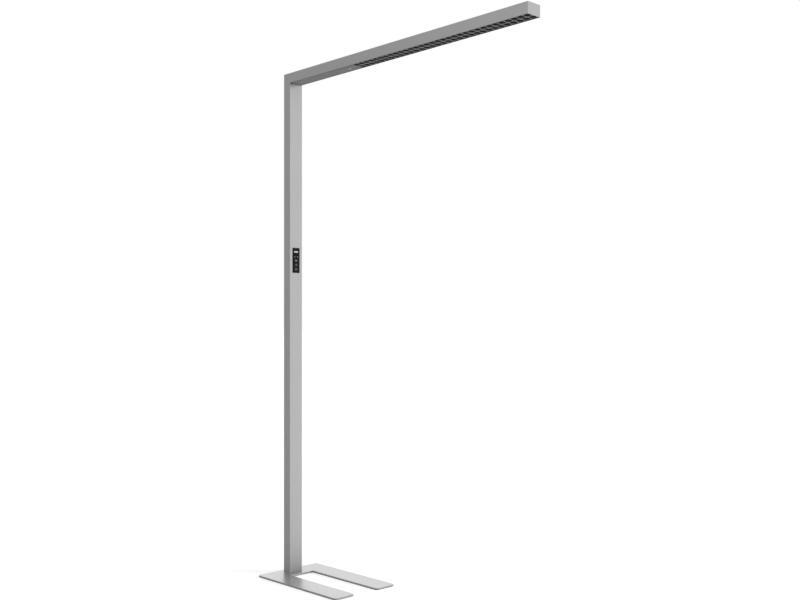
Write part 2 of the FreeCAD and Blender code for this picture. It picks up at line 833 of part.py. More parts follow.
def make_gland():
    body = new_body("cable_gland")
    zero = "0"
    inner_end = f"({MAST_REAR_INNER} + gland_inner_length)"
    prism(
        body, "gland_flange", "YZ_Plane", f"{MAST_REAR} - gland_flange_thickness", MAST_REAR,
        [disc(zero, "gland_height", "gland_flange_radius")],
    )
    prism(
        body, "gland_barrel", "YZ_Plane", MAST_REAR, inner_end,
        [disc(zero, "gland_height", "gland_barrel_radius")],
    )
    pocket(
        body, "gland_bore", "YZ_Plane", f"{MAST_REAR} - gland_flange_thickness - overcut",
        f"{inner_end} + overcut", [disc(zero, "gland_height", "gland_bore_radius")],
    )
    nut = new_body("gland_nut")
    prism(
        nut, "gland_nut_solid", "YZ_Plane", MAST_REAR_INNER,
        f"{MAST_REAR_INNER} + gland_nut_thickness",
        [hexagon(zero, "gland_height", "gland_nut_half_width")],
    )
    pocket(
        nut, "gland_nut_bore", "YZ_Plane", f"{MAST_REAR_INNER} - overcut",
        f"{MAST_REAR_INNER} + gland_nut_thickness + overcut",
        [disc(zero, "gland_height", "gland_barrel_radius + thread_gap")],
    )


def make_mast():
    make_mast_profile()
    make_gland()
    foot, corner = wall_screw_places()
    foot_screw = countersunk_screw(
        "foot_wall_screw", "wall_screw_radius", "wall_screw_head_radius", "foot_screw_length",
    )
    fastener_group("foot_block_screws", foot_screw, HEAD_REAR, [
        (MAST_REAR, across, along) for across, along in foot
    ])
    bracket_thickness = "(optic_space - seat_gap * 2)"
    corner_screw = countersunk_screw(
        "corner_wall_screw", "wall_screw_radius", "wall_screw_head_radius",
        f"mast_wall + {bracket_thickness}",
    )
    fastener_group("corner_mast_screws", corner_screw, HEAD_REAR, [
        (MAST_REAR, across, along) for across, along in corner
    ])


# ---- corner ----------------------------------------------------------------------------


def grub_places():
    return [
        (f"{MAST_FRONT} + grub_first + {step} * grub_spacing", across)
        for step in range(2)
        for (across,) in both_sides(CORNER_SCREW_Y)
    ]


def make_corner():
    """The angle bracket: one leg on the mast's rear wall, one in the head's channel."""
    body = new_body("corner_bracket")
    rear = f"({MAST_REAR_INNER} + seat_gap)"
    thickness = "(optic_space - seat_gap * 2)"
    top = f"({WEB_BOTTOM} - seat_gap)"
    low_end = f"({HEAD_BOTTOM} - corner_mast_leg)"
    front_end = f"({MAST_FRONT} + corner_head_leg)"
    angle = prism(
        body, "corner_angle", "XZ_Plane", f"-{FOOT_HALF_WIDTH}", FOOT_HALF_WIDTH,
        [outline([
            (rear, low_end),
            (f"{rear} + {thickness}", low_end),
            (f"{rear} + {thickness}", f"{top} - {thickness}"),
            (front_end, f"{top} - {thickness}"),
            (front_end, top),
            (rear, top),
        ])],
    )
    inside_x = number(f"{rear} + {thickness}")
    inside_z = number(f"{top} - {thickness}")
    round_edges(
        body, "corner_inside", angle, "corner_web_radius",
        lambda edge: runs_along(edge, Vector(0, 1, 0))
        and abs(edge.Vertexes[0].X - inside_x) < 1e-6
        and abs(edge.Vertexes[0].Z - inside_z) < 1e-6,
    )
    foot, corner = wall_screw_places()
    pocket(
        body, "corner_wall_holes", "YZ_Plane", f"{rear} - overcut",
        f"{rear} + {thickness} + overcut",
        [disc(across, along, "wall_screw_radius + thread_gap") for across, along in corner],
    )
    pocket(
        body, "corner_grub_holes", "XY_Plane", f"{top} - {thickness} - overcut",
        f"{top} + overcut",
        [disc(across, along, "grub_screw_radius + thread_gap")
         for across, along in grub_places()],
    )
    screw = grub_screw("grub_screw", "grub_screw_radius", "grub_socket_radius", thickness)
    fastener_group("corner_grub_screws", screw, HEAD_DOWN, [
        (across, along, f"{top} - {thickness}") for across, along in grub_places()
    ])


# ---- head ------------------------------------------------------------------------------


def module_start(module):
    """Where a light module's cells begin along X."""
    return f"({LIGHT_START} + module_gap / 2 + {module} * {MODULE_PITCH})"


def board_screw_xs(module, cells):
    """Two screws on a board's centre line, so many cells in from its ends."""
    start = module_start(module)
    return [f"{start} + {cells} * cell_pitch", f"{start} + ({CELLS} - {cells}) * cell_pitch"]


DOWNLIGHT_SCREW_CELLS = 2
UPLIGHT_SCREW_CELLS = 1


def driver_screw_xs():
    return [f"{DRIVER_REAR} - driver_tab_length / 2", f"{DRIVER_FRONT} + driver_tab_length / 2"]


def make_head_profile():
    """An extrusion with a full top wall, a web that carries both rows of boards, two
    shelves that carry the lenses, and an open underside with a bead along each edge."""
    body = new_body("head_profile")
    zero = "0"
    blank = prism(
        body, "head_blank", "YZ_Plane", MAST_REAR, HEAD_END,
        [rectangle(f"-{HALF_WIDTH}", HEAD_BOTTOM, HALF_WIDTH, "overall_height")],
    )
    round_edges(
        body, "head_arrises", blank, "profile_edge_radius",
        lambda edge: runs_along(edge, Vector(1, 0, 0)),
    )
    port_inner = f"({HEAD_HALF_INNER} - {PORT_SIZE})"
    rib_inner = f"({HEAD_HALF_INNER} - rib_depth)"
    rib_top = "(overall_height - head_wall - rib_drop)"
    upper = mirrored([
        (port_inner, WEB_TOP),
        (port_inner, f"{WEB_TOP} + {PORT_SIZE}"),
        (HEAD_HALF_INNER, f"{WEB_TOP} + {PORT_SIZE}"),
        (HEAD_HALF_INNER, f"{rib_top} - rib_thickness"),
        (rib_inner, f"{rib_top} - rib_thickness"),
        (rib_inner, rib_top),
        (HEAD_HALF_INNER, rib_top),
        (HEAD_HALF_INNER, "overall_height - head_wall"),
    ])
    lower = mirrored([
        (f"({HEAD_HALF_INNER} - bead_depth)", f"{HEAD_BOTTOM} - overcut"),
        (f"({HEAD_HALF_INNER} - bead_depth)", BEAD_TOP),
        (HEAD_HALF_INNER, BEAD_TOP),
        (HEAD_HALF_INNER, SHELF_BOTTOM),
        (f"({HEAD_HALF_INNER} - shelf_depth)", SHELF_BOTTOM),
        (f"({HEAD_HALF_INNER} - shelf_depth)", SHELF_TOP),
        (HEAD_HALF_INNER, SHELF_TOP),
        (HEAD_HALF_INNER, WEB_BOTTOM),
    ])
    reach = (f"{MAST_REAR} - overcut", f"{HEAD_END} + overcut")
    pocket(body, "head_upper_chamber", "YZ_Plane", *reach, [upper])
    pocket(body, "head_lower_chamber", "YZ_Plane", *reach, [lower])
    ports = [
        disc(across, f"{WEB_TOP} + {PORT_SIZE} / 2", "port_radius")
        for (across,) in both_sides(PORT_Y)
    ]
    pocket(body, "head_ports", "YZ_Plane", *reach, ports)
    pocket(
        body, "head_mitre", "XZ_Plane", f"-{HALF_WIDTH} - overcut", f"{HALF_WIDTH} + overcut",
        [outline([
            (f"{MAST_REAR} - overcut", "overall_height + overcut"),
            (f"{MAST_REAR} - overcut", f"{HEAD_BOTTOM} - overcut"),
            (f"{MAST_FRONT} + overcut", f"{HEAD_BOTTOM} - overcut"),
        ])],
    )
    pocket(
        body, "head_uplight_slot", "XY_Plane", "overall_height - head_wall - seat_gap",
        "overall_height + overcut",
        [rectangle(LIGHT_START, f"-{UPLIGHT_SLOT_HALF}", f"{HEAD_END} + overcut",
                   UPLIGHT_SLOT_HALF)],
    )
    board_holes = [
        disc(across, zero, "board_screw_radius + thread_gap")
        for module in range(MODULES)
        for cells in (DOWNLIGHT_SCREW_CELLS, UPLIGHT_SCREW_CELLS)
        for across in board_screw_xs(module, cells)
    ]
    driver_holes = [disc(across, zero, "wall_screw_radius + thread_gap")
                    for across in driver_screw_xs()]
    lead_hole = disc(
        f"{LIGHT_START} - uplight_lead_rise_setback", f"-{SMALL_LEAD_Y}",
        "small_lead_radius + small_lead_bend * 0.6",
    )
    pocket(
        body, "head_web_holes", "XY_Plane", f"{WEB_BOTTOM} - seat_gap", f"{WEB_TOP} + seat_gap",
        board_holes + driver_holes + [lead_hole],
    )
    return body


def make_end_cap():
    body = new_body("end_cap")
    plate = prism(
        body, "end_cap_plate", "YZ_Plane", HEAD_END, HEAD_TIP,
        [rectangle(f"-{HALF_WIDTH}", HEAD_BOTTOM, HALF_WIDTH, "overall_height")],
    )
    round_edges(
        body, "end_cap_arrises", plate, "profile_edge_radius",
        lambda edge: runs_along(edge, Vector(1, 0, 0)),
    )
    prism(
        body, "end_cap_pegs", "YZ_Plane", f"{HEAD_END} - end_cap_peg_length", HEAD_END,
        [disc(across, f"{WEB_TOP} + {PORT_SIZE} / 2", "port_radius - seat_gap")
         for (across,) in both_sides(PORT_Y)],
    )
    return body


def make_bottom_cover():
    """The closed cover under the driver, a shallow upturned tray on the edge beads."""
    body = new_body("bottom_cover")
    start = f"({MAST_FRONT} + seat_gap)"
    end = f"({LIGHT_START} - seat_gap)"
    inner = f"({COVER_HALF} - cover_flange_thickness)"
    prism(
        body, "bottom_cover_tray", "YZ_Plane", start, end,
        [mirrored([
            (COVER_HALF, BEAD_TOP),
            (COVER_HALF, f"{COVER_TOP} + cover_flange_height"),
            (inner, f"{COVER_TOP} + cover_flange_height"),
            (inner, COVER_TOP),
        ])],
    )
    pocket(
        body, "bottom_cover_sensor_hole", "XY_Plane", f"{HEAD_BOTTOM} - overcut",
        f"{COVER_TOP} + overcut",
        [disc(SENSOR_X, "0", "sensor_lens_radius + fit_gap")],
    )
    return body


def make_uplight_cover():
    """The opal strip: a wide foot under the top wall and a raised face in the slot."""
    body = new_body("uplight_cover")
    foot = f"({HEAD_HALF_INNER} - fit_gap)"
    face = f"({UPLIGHT_SLOT_HALF} - fit_gap)"
    bottom = "(overall_height - head_wall - rib_drop + seat_gap)"
    prism(
        body, "uplight_cover_strip", "YZ_Plane", f"{LIGHT_START} + fit_gap",
        f"{HEAD_END} - seat_gap",
        [mirrored([
            (foot, bottom),
            (foot, "overall_height - head_wall - seat_gap"),
            (face, "overall_height - head_wall - seat_gap"),
            (face, "overall_height - seat_gap * 2"),
        ])],
    )
    return body


def make_louvre(module):
    """A grid plate, a rim and two rows of tapered cups that narrow up to the lenses."""
    name = f"louvre_{module + 1}"
    body = new_body(name)
    start = module_start(module)
    low_x = f"({start} + module_gap / 2)"
    high_x = f"({start} + {MODULE_PITCH} - module_gap / 2)"
    edge = rectangle(low_x, f"-{LOUVRE_HALF}", high_x, LOUVRE_HALF)
    inside = rectangle(
        f"{low_x} + louvre_rim", f"-{LOUVRE_HALF} + louvre_rim",
        f"{high_x} - louvre_rim", f"{LOUVRE_HALF} - louvre_rim",
    )
    prism(
        body, f"{name}_plate", "XY_Plane", BEAD_TOP, f"{BEAD_TOP} + louvre_plate", [edge],
    )
    prism(body, f"{name}_rim", "XY_Plane", BEAD_TOP, LOUVRE_TOP, [edge, inside])
    cell = (f"({start} + cell_pitch / 2)", ROW_Y)
    cup = prism(
        body, f"{name}_cup", "XY_Plane", BEAD_TOP, LOUVRE_TOP,
        [centred(*cell, f"{MOUTH_LENGTH} + cup_wall * 2", f"{MOUTH_WIDTH} + cup_wall * 2")],
        taper=f"-{CUP_TAPER}",
    )
    mouth = pocket(
        body, f"{name}_mouth", "XY_Plane", BEAD_TOP, LOUVRE_TOP,
        [centred(*cell, MOUTH_LENGTH, MOUTH_WIDTH)], taper=f"-{CUP_TAPER}",
    )
    cell_pattern(body, [cup, mouth])
    return body


def make_lens_array(module):
    """A clear plate on the shelves with a truncated cone over each cell."""
    name = f"lens_array_{module + 1}"
    body = new_body(name)
    start = module_start(module)
    half = f"({HEAD_HALF_INNER} - fit_gap)"
    prism(
        body, f"{name}_plate", "XY_Plane", SHELF_TOP, f"{SHELF_TOP} + lens_plate_thickness",
        [rectangle(f"{start} + module_gap", f"-{half}",
                   f"{start} + {MODULE_PITCH} - module_gap", half)],
    )
    lens = prism(
        body, f"{name}_lens", "XY_Plane", f"{SHELF_TOP} - lens_drop", SHELF_TOP,
        [disc(f"({start} + cell_pitch / 2)", ROW_Y, LENS_TIP_RADIUS)],
        taper="atan(lens_taper / lens_drop)",
    )
    cell_pattern(body, [lens])
    return body


def board_ends(module):
    start = module_start(module)
    return f"({start} + board_end_gap / 2)", f"({start} + {MODULE_PITCH} - board_end_gap / 2)"


def make_downlight_board(module):
    """A board under the web with a chip over each cell."""
    name = f"downlight_board_{module + 1}"
    body = new_body(name)
    low_x, high_x = board_ends(module)
    bottom = f"({WEB_BOTTOM} - board_thickness)"
    prism(
        body, f"{name}_plate", "XY_Plane", bottom, WEB_BOTTOM,
        [rectangle(low_x, f"-{DOWNLIGHT_BOARD_HALF}", high_x, DOWNLIGHT_BOARD_HALF)],
    )
    pocket(
        body, f"{name}_holes", "XY_Plane", f"{bottom} - overcut", f"{WEB_BOTTOM} + overcut",
        [disc(across, "0", "board_screw_radius + fit_gap")
         for across in board_screw_xs(module, DOWNLIGHT_SCREW_CELLS)],
    )
    chip = prism(
        body, f"{name}_chip", "XY_Plane", f"{bottom} - chip_height", bottom,
        [centred(f"({module_start(module)} + cell_pitch / 2)", ROW_Y,
                 "chip_size", "chip_size")],
    )
    cell_pattern(body, [chip])
    return body


def make_uplight_board(module):
    """A narrower board on top of the web with a single row of chips."""
    name = f"uplight_board_{module + 1}"
    body = new_body(name)
    low_x, high_x = board_ends(module)
    top = f"({WEB_TOP} + board_thickness)"
    prism(
        body, f"{name}_plate", "XY_Plane", WEB_TOP, top,
        [rectangle(low_x, f"-{UPLIGHT_BOARD_HALF}", high_x, UPLIGHT_BOARD_HALF)],
    )
    pocket(
        body, f"{name}_holes", "XY_Plane", f"{WEB_TOP} - overcut", f"{top} + overcut",
        [disc(across, "0", "board_screw_radius + fit_gap")
         for across in board_screw_xs(module, UPLIGHT_SCREW_CELLS)],
    )
    chip = prism(
        body, f"{name}_chip", "XY_Plane", top, f"{top} + chip_height",
        [centred(f"({module_start(module)} + cell_pitch / 2)", "0",
                 "chip_size", "chip_size")],
    )
    cell_pattern(body, [chip], mirror=False)
    return body


def make_board_screws():
    screw = pan_screw(
        "board_screw", "board_screw_radius", "board_screw_head_radius",
        "board_screw_head_height", "board_thickness + web_thickness - seat_gap * 2",
    )
    zero = "0"
    fastener_group("downlight_board_screws", screw, HEAD_DOWN, [
        (across, zero, f"{WEB_BOTTOM} - board_thickness")
        for module in range(MODULES)
        for across in board_screw_xs(module, DOWNLIGHT_SCREW_CELLS)
    ])
    fastener_group("uplight_board_screws", screw, HEAD_UP, [
        (across, zero, f"{WEB_TOP} + board_thickness")
        for module in range(MODULES)
        for across in board_screw_xs(module, UPLIGHT_SCREW_CELLS)
    ])


def make_driver():
    body = new_body("driver")
    zero = "0"
    prism(
        body, "driver_case", "XY_Plane", DRIVER_BOTTOM, WEB_BOTTOM,
        [rectangle(DRIVER_REAR, "-driver_width / 2", DRIVER_FRONT, "driver_width / 2")],
    )
    prism(
        body, "driver_tabs", "XY_Plane", f"{WEB_BOTTOM} - driver_tab_thickness", WEB_BOTTOM,
        [rectangle(f"{DRIVER_REAR} - driver_tab_length", "driver_tab_inset - driver_width / 2",
                   f"{DRIVER_FRONT} + driver_tab_length",
                   "driver_width / 2 - driver_tab_inset")],
    )
    pocket(
        body, "driver_screw_holes", "XY_Plane",
        f"{WEB_BOTTOM} - driver_tab_thickness - overcut", f"{WEB_BOTTOM} + overcut",
        [disc(across, zero, "wall_screw_radius + fit_gap") for across in driver_screw_xs()],
    )
    screw = pan_screw(
        "driver_pan_screw", "wall_screw_radius", "driver_screw_head_radius",
        "driver_screw_head_height", "driver_tab_thickness + web_thickness - seat_gap * 2",
    )
    fastener_group("driver_screws", screw, HEAD_DOWN, [
        (across, zero, f"{WEB_BOTTOM} - driver_tab_thickness") for across in driver_screw_xs()
    ])


def make_sensor():
    """A flanged dome lens through the cover, under a small housing with its board."""
    zero = "0"
    lens = new_body("sensor_lens")
    drop = f"({BEAD_TOP} - sensor_lens_drop)"
    dome = prism(
        lens, "sensor_dome", "XY_Plane", drop, COVER_TOP,
        [disc(SENSOR_X, zero, "sensor_lens_radius")],
    )
    low = number(drop)
    round_edges(
        lens, "sensor_dome_rim", dome, "sensor_lens_drop * 0.95",
        lambda edge: abs(edge.BoundBox.ZMax - low) < 1e-6,
    )
    prism(
        lens, "sensor_flange", "XY_Plane", COVER_TOP, f"{COVER_TOP} + sensor_flange_thickness",
        [disc(SENSOR_X, zero, "sensor_lens_radius + sensor_flange_margin")],
    )

    housing = new_body("sensor_housing")
    top = f"({COVER_TOP} + sensor_housing_height)"
    roof = f"({top} - sensor_housing_wall)"
    prism(
        housing, "sensor_housing_block", "XY_Plane", COVER_TOP, top,
        [centred(SENSOR_X, zero, "sensor_housing_length", "sensor_housing_width")],
    )
    inner_length = "(sensor_housing_length - sensor_housing_wall * 2)"
    inner_width = "(sensor_housing_width - sensor_housing_wall * 2)"
    pocket(
        housing, "sensor_housing_hollow", "XY_Plane", f"{COVER_TOP} - overcut", roof,
        [centred(SENSOR_X, zero, inner_length, inner_width)],
    )
    post = "sensor_post_size"
    post_x = f"({inner_length} - {post}) / 2"
    post_y = f"({inner_width} - {post}) / 2"
    prism(
        housing, "sensor_housing_posts", "XY_Plane", f"{roof} - sensor_post_length", roof,
        [centred(f"{SENSOR_X} + {across}", along, post, post)
         for across, along in both_sides(post_x, post_y)],
    )

    board = new_body("sensor_board")
    board_top = f"({roof} - sensor_post_length)"
    prism(
        board, "sensor_board_plate", "XY_Plane", f"{board_top} - board_thickness", board_top,
        [centred(SENSOR_X, zero, f"{inner_length} - fit_gap * 2", f"{inner_width} - fit_gap * 2")],
    )
    prism(
        board, "sensor_can", "XY_Plane",
        f"{COVER_TOP} + sensor_flange_thickness + fit_gap", f"{board_top} - board_thickness",
        [disc(SENSOR_X, zero, "sensor_can_radius")],
    )


def make_small_leads():
    """Short leads from the driver's front end to the sensor and to both rows of boards."""
    zero = "0"
    radius = "small_lead_radius"
    sensor = new_body("sensor_lead")
    prism(
        sensor, "sensor_lead_run", "YZ_Plane", DRIVER_FRONT,
        f"{SENSOR_X} - sensor_housing_length / 2",
        [disc(zero, f"{COVER_TOP} + sensor_housing_height / 2", radius)],
    )
    first_board = board_ends(0)[0]
    down = new_body("downlight_lead")
    prism(
        down, "downlight_lead_run", "YZ_Plane", DRIVER_FRONT, first_board,
        [disc(SMALL_LEAD_Y, f"{WEB_BOTTOM} - seat_gap - {radius}", radius)],
    )
    up = new_body("uplight_lead")
    bend = "small_lead_bend"
    rise_x = f"({LIGHT_START} - uplight_lead_rise_setback)"
    low_z = f"({WEB_BOTTOM} - {bend} - {radius})"
    high_z = f"({WEB_TOP} + seat_gap + {radius})"
    prism(
        up, "uplight_lead_low", "YZ_Plane", DRIVER_FRONT, f"{rise_x} - {bend}",
        [disc(f"-{SMALL_LEAD_Y}", low_z, radius)],
    )
    elbow(
        up, "uplight_lead_rise", f"{rise_x} - {bend}", f"{low_z} + {bend}",
        f"-{SMALL_LEAD_Y}", bend, radius, "+",
    )
    prism(
        up, "uplight_lead_upright", "XY_Plane", f"{low_z} + {bend}", f"{high_z} - {bend}",
        [disc(rise_x, f"-{SMALL_LEAD_Y}", radius)],
    )
    elbow(
        up, "uplight_lead_turn", f"{rise_x} + {bend}", f"{high_z} - {bend}",
        f"-{SMALL_LEAD_Y}", bend, radius, "-",
    )
    prism(
        up, "uplight_lead_high", "YZ_Plane", f"{rise_x} + {bend}", first_board,
        [disc(f"-{SMALL_LEAD_Y}", high_z, radius)],
    )


def make_riser(name, offset, start, x, z, bend, radius):
    """A lead that climbs inside the mast, turns in the corner and runs to the driver."""
    body = new_body(name)
    prism(
        body, f"{name}_upright", "XY_Plane", start, f"{z} - {bend}",
        [disc(x, offset, radius)],
    )
    elbow(body, f"{name}_turn", f"{x} + {bend}", f"{z} - {bend}", offset, bend, radius, "-")
    prism(
        body, f"{name}_run", "YZ_Plane", f"{x} + {bend}", DRIVER_REAR,
        [disc(offset, z, radius)],
    )
    return body


def make_head():
    make_head_profile()
    make_end_cap()
    make_bottom_cover()
    make_uplight_cover()
    for module in range(MODULES):
        make_louvre(module)
        make_lens_array(module)
        make_downlight_board(module)
        make_uplight_board(module)
    make_board_screws()
    make_driver()
    make_sensor()
    make_small_leads()
    make_riser(
        "mains_lead", "-mains_lead_offset", TERMINAL_TOP, MAINS_LEAD_X,
        LEAD_Z, "mains_lead_bend", "mains_lead_radius",
    )
    make_riser(
        "keypad_lead", "keypad_lead_offset", CONNECTOR_TOP, KEYPAD_LEAD_X,
        LEAD_Z, "keypad_lead_bend", "keypad_lead_radius",
    )


# ---- control panel -----------------------------------------------------------------------


def key_row_z(row):
    """The middle height of a full-width key, counted from the lowest."""
    return (
        "(panel_bottom_height + panel_foot_margin + key_length / 2"
        f" + {row} * (key_length + key_gap))"
    )


# name, middle across, middle up, width and length of each key
KEYS = [
    ("key_lower", "0", key_row_z(0), "key_width", "key_length"),
    ("key_middle", "0", key_row_z(1), "key_width", "key_length"),
    ("key_upper", "0", key_row_z(2), "key_width", "key_length"),
    ("key_left", f"(-{PAIR_Y})", PAIR_Z, PAIR_WIDTH, "pair_length"),
    ("key_right", PAIR_Y, PAIR_Z, PAIR_WIDTH, "pair_length"),
]


def panel_post_places():
    return [("0", UPPER_POST_Z), ("0", LOWER_POST_Z)]


def make_panel_frame():
    """The black panel: a thin flange on the mast, an open-backed box behind it with two
    screw posts, and a snap clip above and below."""
    body = new_body("panel_frame")
    zero = "0"
    flange = prism(
        body, "panel_flange_plate", "YZ_Plane", MAST_FRONT, PANEL_FACE,
        [rectangle(f"-{PANEL_HALF}", "panel_bottom_height", PANEL_HALF, PANEL_TOP)],
    )
    round_edges(
        body, "panel_flange_corners", flange, "panel_corner_radius",
        lambda edge: runs_along(edge, Vector(1, 0, 0)),
    )
    prism(
        body, "panel_box", "YZ_Plane", PANEL_BACK, MAST_FRONT,
        [rectangle(f"-{BOX_HALF}", BOX_BOTTOM, BOX_HALF, BOX_TOP)],
    )
    pocket(
        body, "panel_hollow", "YZ_Plane", f"{PANEL_BACK} - overcut", f"{PANEL_FACE} - panel_face",
        [rectangle(f"-{BOX_HALF} + panel_wall", f"{BOX_BOTTOM} + panel_wall",
                   f"{BOX_HALF} - panel_wall", f"{BOX_TOP} - panel_wall")],
    )
    openings = [
        centred(across, along, f"{width} + key_play * 2", f"{length} + key_play * 2")
        for name, across, along, width, length in KEYS
    ]
    window = centred(
        zero, WINDOW_Z, "key_width - window_inset + key_play", "window_length + key_play",
    )
    pocket(
        body, "panel_openings", "YZ_Plane", f"{PANEL_FACE} - panel_face - overcut",
        f"{PANEL_FACE} + overcut", openings + [window],
    )
    prism(
        body, "panel_posts", "YZ_Plane", SWITCH_BACK, f"{PANEL_FACE} - panel_face",
        [disc(across, along, "panel_post_radius") for across, along in panel_post_places()],
    )
    pocket(
        body, "panel_post_holes", "YZ_Plane", SWITCH_BACK, f"{PANEL_FACE} - panel_face",
        [disc(across, along, "board_screw_radius - thread_gap * 4")
         for across, along in panel_post_places()],
    )
    clip_front = f"({MAST_FRONT_INNER} - seat_gap)"
    for side, wall, sign in (("top", BOX_TOP, "+"), ("foot", BOX_BOTTOM, "-")):
        prism(
            body, f"panel_clip_{side}", "XZ_Plane", "-clip_width / 2", "clip_width / 2",
            [outline([
                (clip_front, wall),
                (clip_front, f"{wall} {sign} (key_play + clip_bite)"),
                (f"{clip_front} - clip_depth", wall),
            ])],
        )
    return body


def make_panel_window():
    body = new_body("panel_window")
    zero = "0"
    inner_face = f"({PANEL_FACE} - panel_face)"
    width = "(key_width - window_inset)"
    prism(
        body, "panel_window_foot", "YZ_Plane", f"{inner_face} - key_flange", inner_face,
        [centred(zero, WINDOW_Z, f"{width} + key_flange_margin * 2",
                 "window_length + key_flange_margin * 2")],
    )
    prism(
        body, "panel_window_face", "YZ_Plane", inner_face, f"{PANEL_FACE} - seat_gap",
        [centred(zero, WINDOW_Z, width, "window_length")],
    )
    return body


def make_key(name, across, along, width, length):
    """A key cap with a retaining flange behind the panel and a stem into its switch."""
    body = new_body(name)
    crown_level = f"({PANEL_FACE} + key_proud)"
    cap = prism(
        body, f"{name}_cap", "YZ_Plane", KEY_SEAT, crown_level,
        [centred(across, along, width, length)],
    )
    crown = number(crown_level)
    round_edges(
        body, f"{name}_crown", cap, "key_edge_radius",
        lambda edge: all(abs(vertex.X - crown) < 1e-6 for vertex in edge.Vertexes),
    )
    margin = "key_flange_margin * 2"
    prism(
        body, f"{name}_flange", "YZ_Plane", KEY_BACK, KEY_SEAT,
        [centred(across, along, f"{width} + {margin}", f"{length} + {margin}")],
    )
    prism(
        body, f"{name}_stem", "YZ_Plane", f"{SWITCH_FACE} - stem_entry", KEY_BACK,
        [disc(across, along, "stem_radius")],
    )
    return body


def make_switches():
    """A tactile switch behind each key, all alike, as one group on the board."""
    switch = document.addObject("PartDesign::Body", "tact_switch")
    zero = "0"
    prism(
        switch, "tact_switch_case", "YZ_Plane", SWITCH_BACK, SWITCH_FACE,
        [centred(zero, zero, "switch_size", "switch_size")],
    )
    pocket(
        switch, "tact_switch_bore", "YZ_Plane",
        f"{SWITCH_FACE} - stem_entry - key_travel - switch_gap / 2", f"{SWITCH_FACE} + overcut",
        [disc(zero, zero, "switch_bore_radius")],
    )
    fastener_group("tact_switches", switch, HEAD_UP, [
        (zero, across, along) for name, across, along, width, length in KEYS
    ])


def make_keypad_board():
    body = new_body("keypad_board")
    margin = "(panel_wall + fit_gap)"
    prism(
        body, "keypad_board_plate", "YZ_Plane", KEYPAD_BACK, SWITCH_BACK,
        [rectangle(f"-{BOX_HALF} + {margin}", f"{BOX_BOTTOM} + {margin}",
                   f"{BOX_HALF} - {margin}", f"{BOX_TOP} - {margin}")],
    )
    pocket(
        body, "keypad_board_holes", "YZ_Plane", f"{KEYPAD_BACK} - overcut",
        f"{SWITCH_BACK} + overcut",
        [disc(across, along, "board_screw_radius + fit_gap / 2")
         for across, along in panel_post_places()],
    )
    prism(
        body, "keypad_connector", "YZ_Plane", f"{KEYPAD_LEAD_X} - keypad_lead_radius - seat_gap",
        KEYPAD_BACK,
        [rectangle("keypad_lead_offset - connector_width / 2",
                   f"{CONNECTOR_TOP} - connector_height",
                   "keypad_lead_offset + connector_width / 2", CONNECTOR_TOP)],
    )
    screw = pan_screw(
        "keypad_pan_screw", "board_screw_radius - thread_gap * 5", "panel_post_radius",
        "board_screw_head_height", "board_thickness + switch_height",
    )
    fastener_group("keypad_board_screws", screw, HEAD_REAR, [
        (KEYPAD_BACK, across, along) for across, along in panel_post_places()
    ])


def make_panel():
    make_panel_frame()
    make_panel_window()
    for key in KEYS:
        make_key(*key)
    make_switches()
    make_keypad_board()


# ---- checks and files ----------------------------------------------------------------------


def check_document():
    """Stop on a failed feature, a pocket that cuts nothing or a bad sub-part."""
    for item in document.Objects:
        if "Invalid" in item.State or "Error" in item.State:
            raise RuntimeError(f"{item.Name} failed: {item.State}")
        if item.TypeId == "PartDesign::Pocket":
            if item.BaseFeature.Shape.Volume - item.Shape.Volume < 1e-3:
                raise RuntimeError(f"{item.Name} cuts nothing")
    for part in SUBPARTS:
        if part.Shape.isNull() or not part.Shape.isValid():
            raise RuntimeError(f"{part.Label} has no valid shape")


def write_parts():
    os.makedirs("parts", exist_ok=True)
    for part in SUBPARTS:
        part.Shape.exportStep(f"parts/{part.Label}.step")


make_base()
make_mast()
make_corner()
make_head()
make_panel()
document.recompute()
check_document()
write_parts()
print(f"{len(SUBPARTS)} sub-parts")
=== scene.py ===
import math

import bmesh
import bpy
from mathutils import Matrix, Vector


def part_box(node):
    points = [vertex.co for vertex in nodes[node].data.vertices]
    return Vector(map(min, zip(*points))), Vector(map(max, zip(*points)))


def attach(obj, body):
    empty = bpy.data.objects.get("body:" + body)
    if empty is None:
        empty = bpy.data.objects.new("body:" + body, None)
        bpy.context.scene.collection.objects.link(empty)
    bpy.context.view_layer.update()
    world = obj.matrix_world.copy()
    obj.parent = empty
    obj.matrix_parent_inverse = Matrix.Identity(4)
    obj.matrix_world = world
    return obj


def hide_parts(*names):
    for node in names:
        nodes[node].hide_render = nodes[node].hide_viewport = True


# Looks of the office floor lamp around its CAD frame. Metres, +Z up, +X along the head.

MM = 0.001
TOLERANCE = 1e-6
TINY = 1e-9

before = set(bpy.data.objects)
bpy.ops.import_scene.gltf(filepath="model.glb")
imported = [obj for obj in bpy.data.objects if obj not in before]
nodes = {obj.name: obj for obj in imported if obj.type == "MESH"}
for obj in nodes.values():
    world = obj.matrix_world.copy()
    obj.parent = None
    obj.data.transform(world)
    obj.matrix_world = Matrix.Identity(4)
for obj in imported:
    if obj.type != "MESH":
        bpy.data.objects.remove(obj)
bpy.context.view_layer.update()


# ---- node helpers -----------------------------------------------------------------------


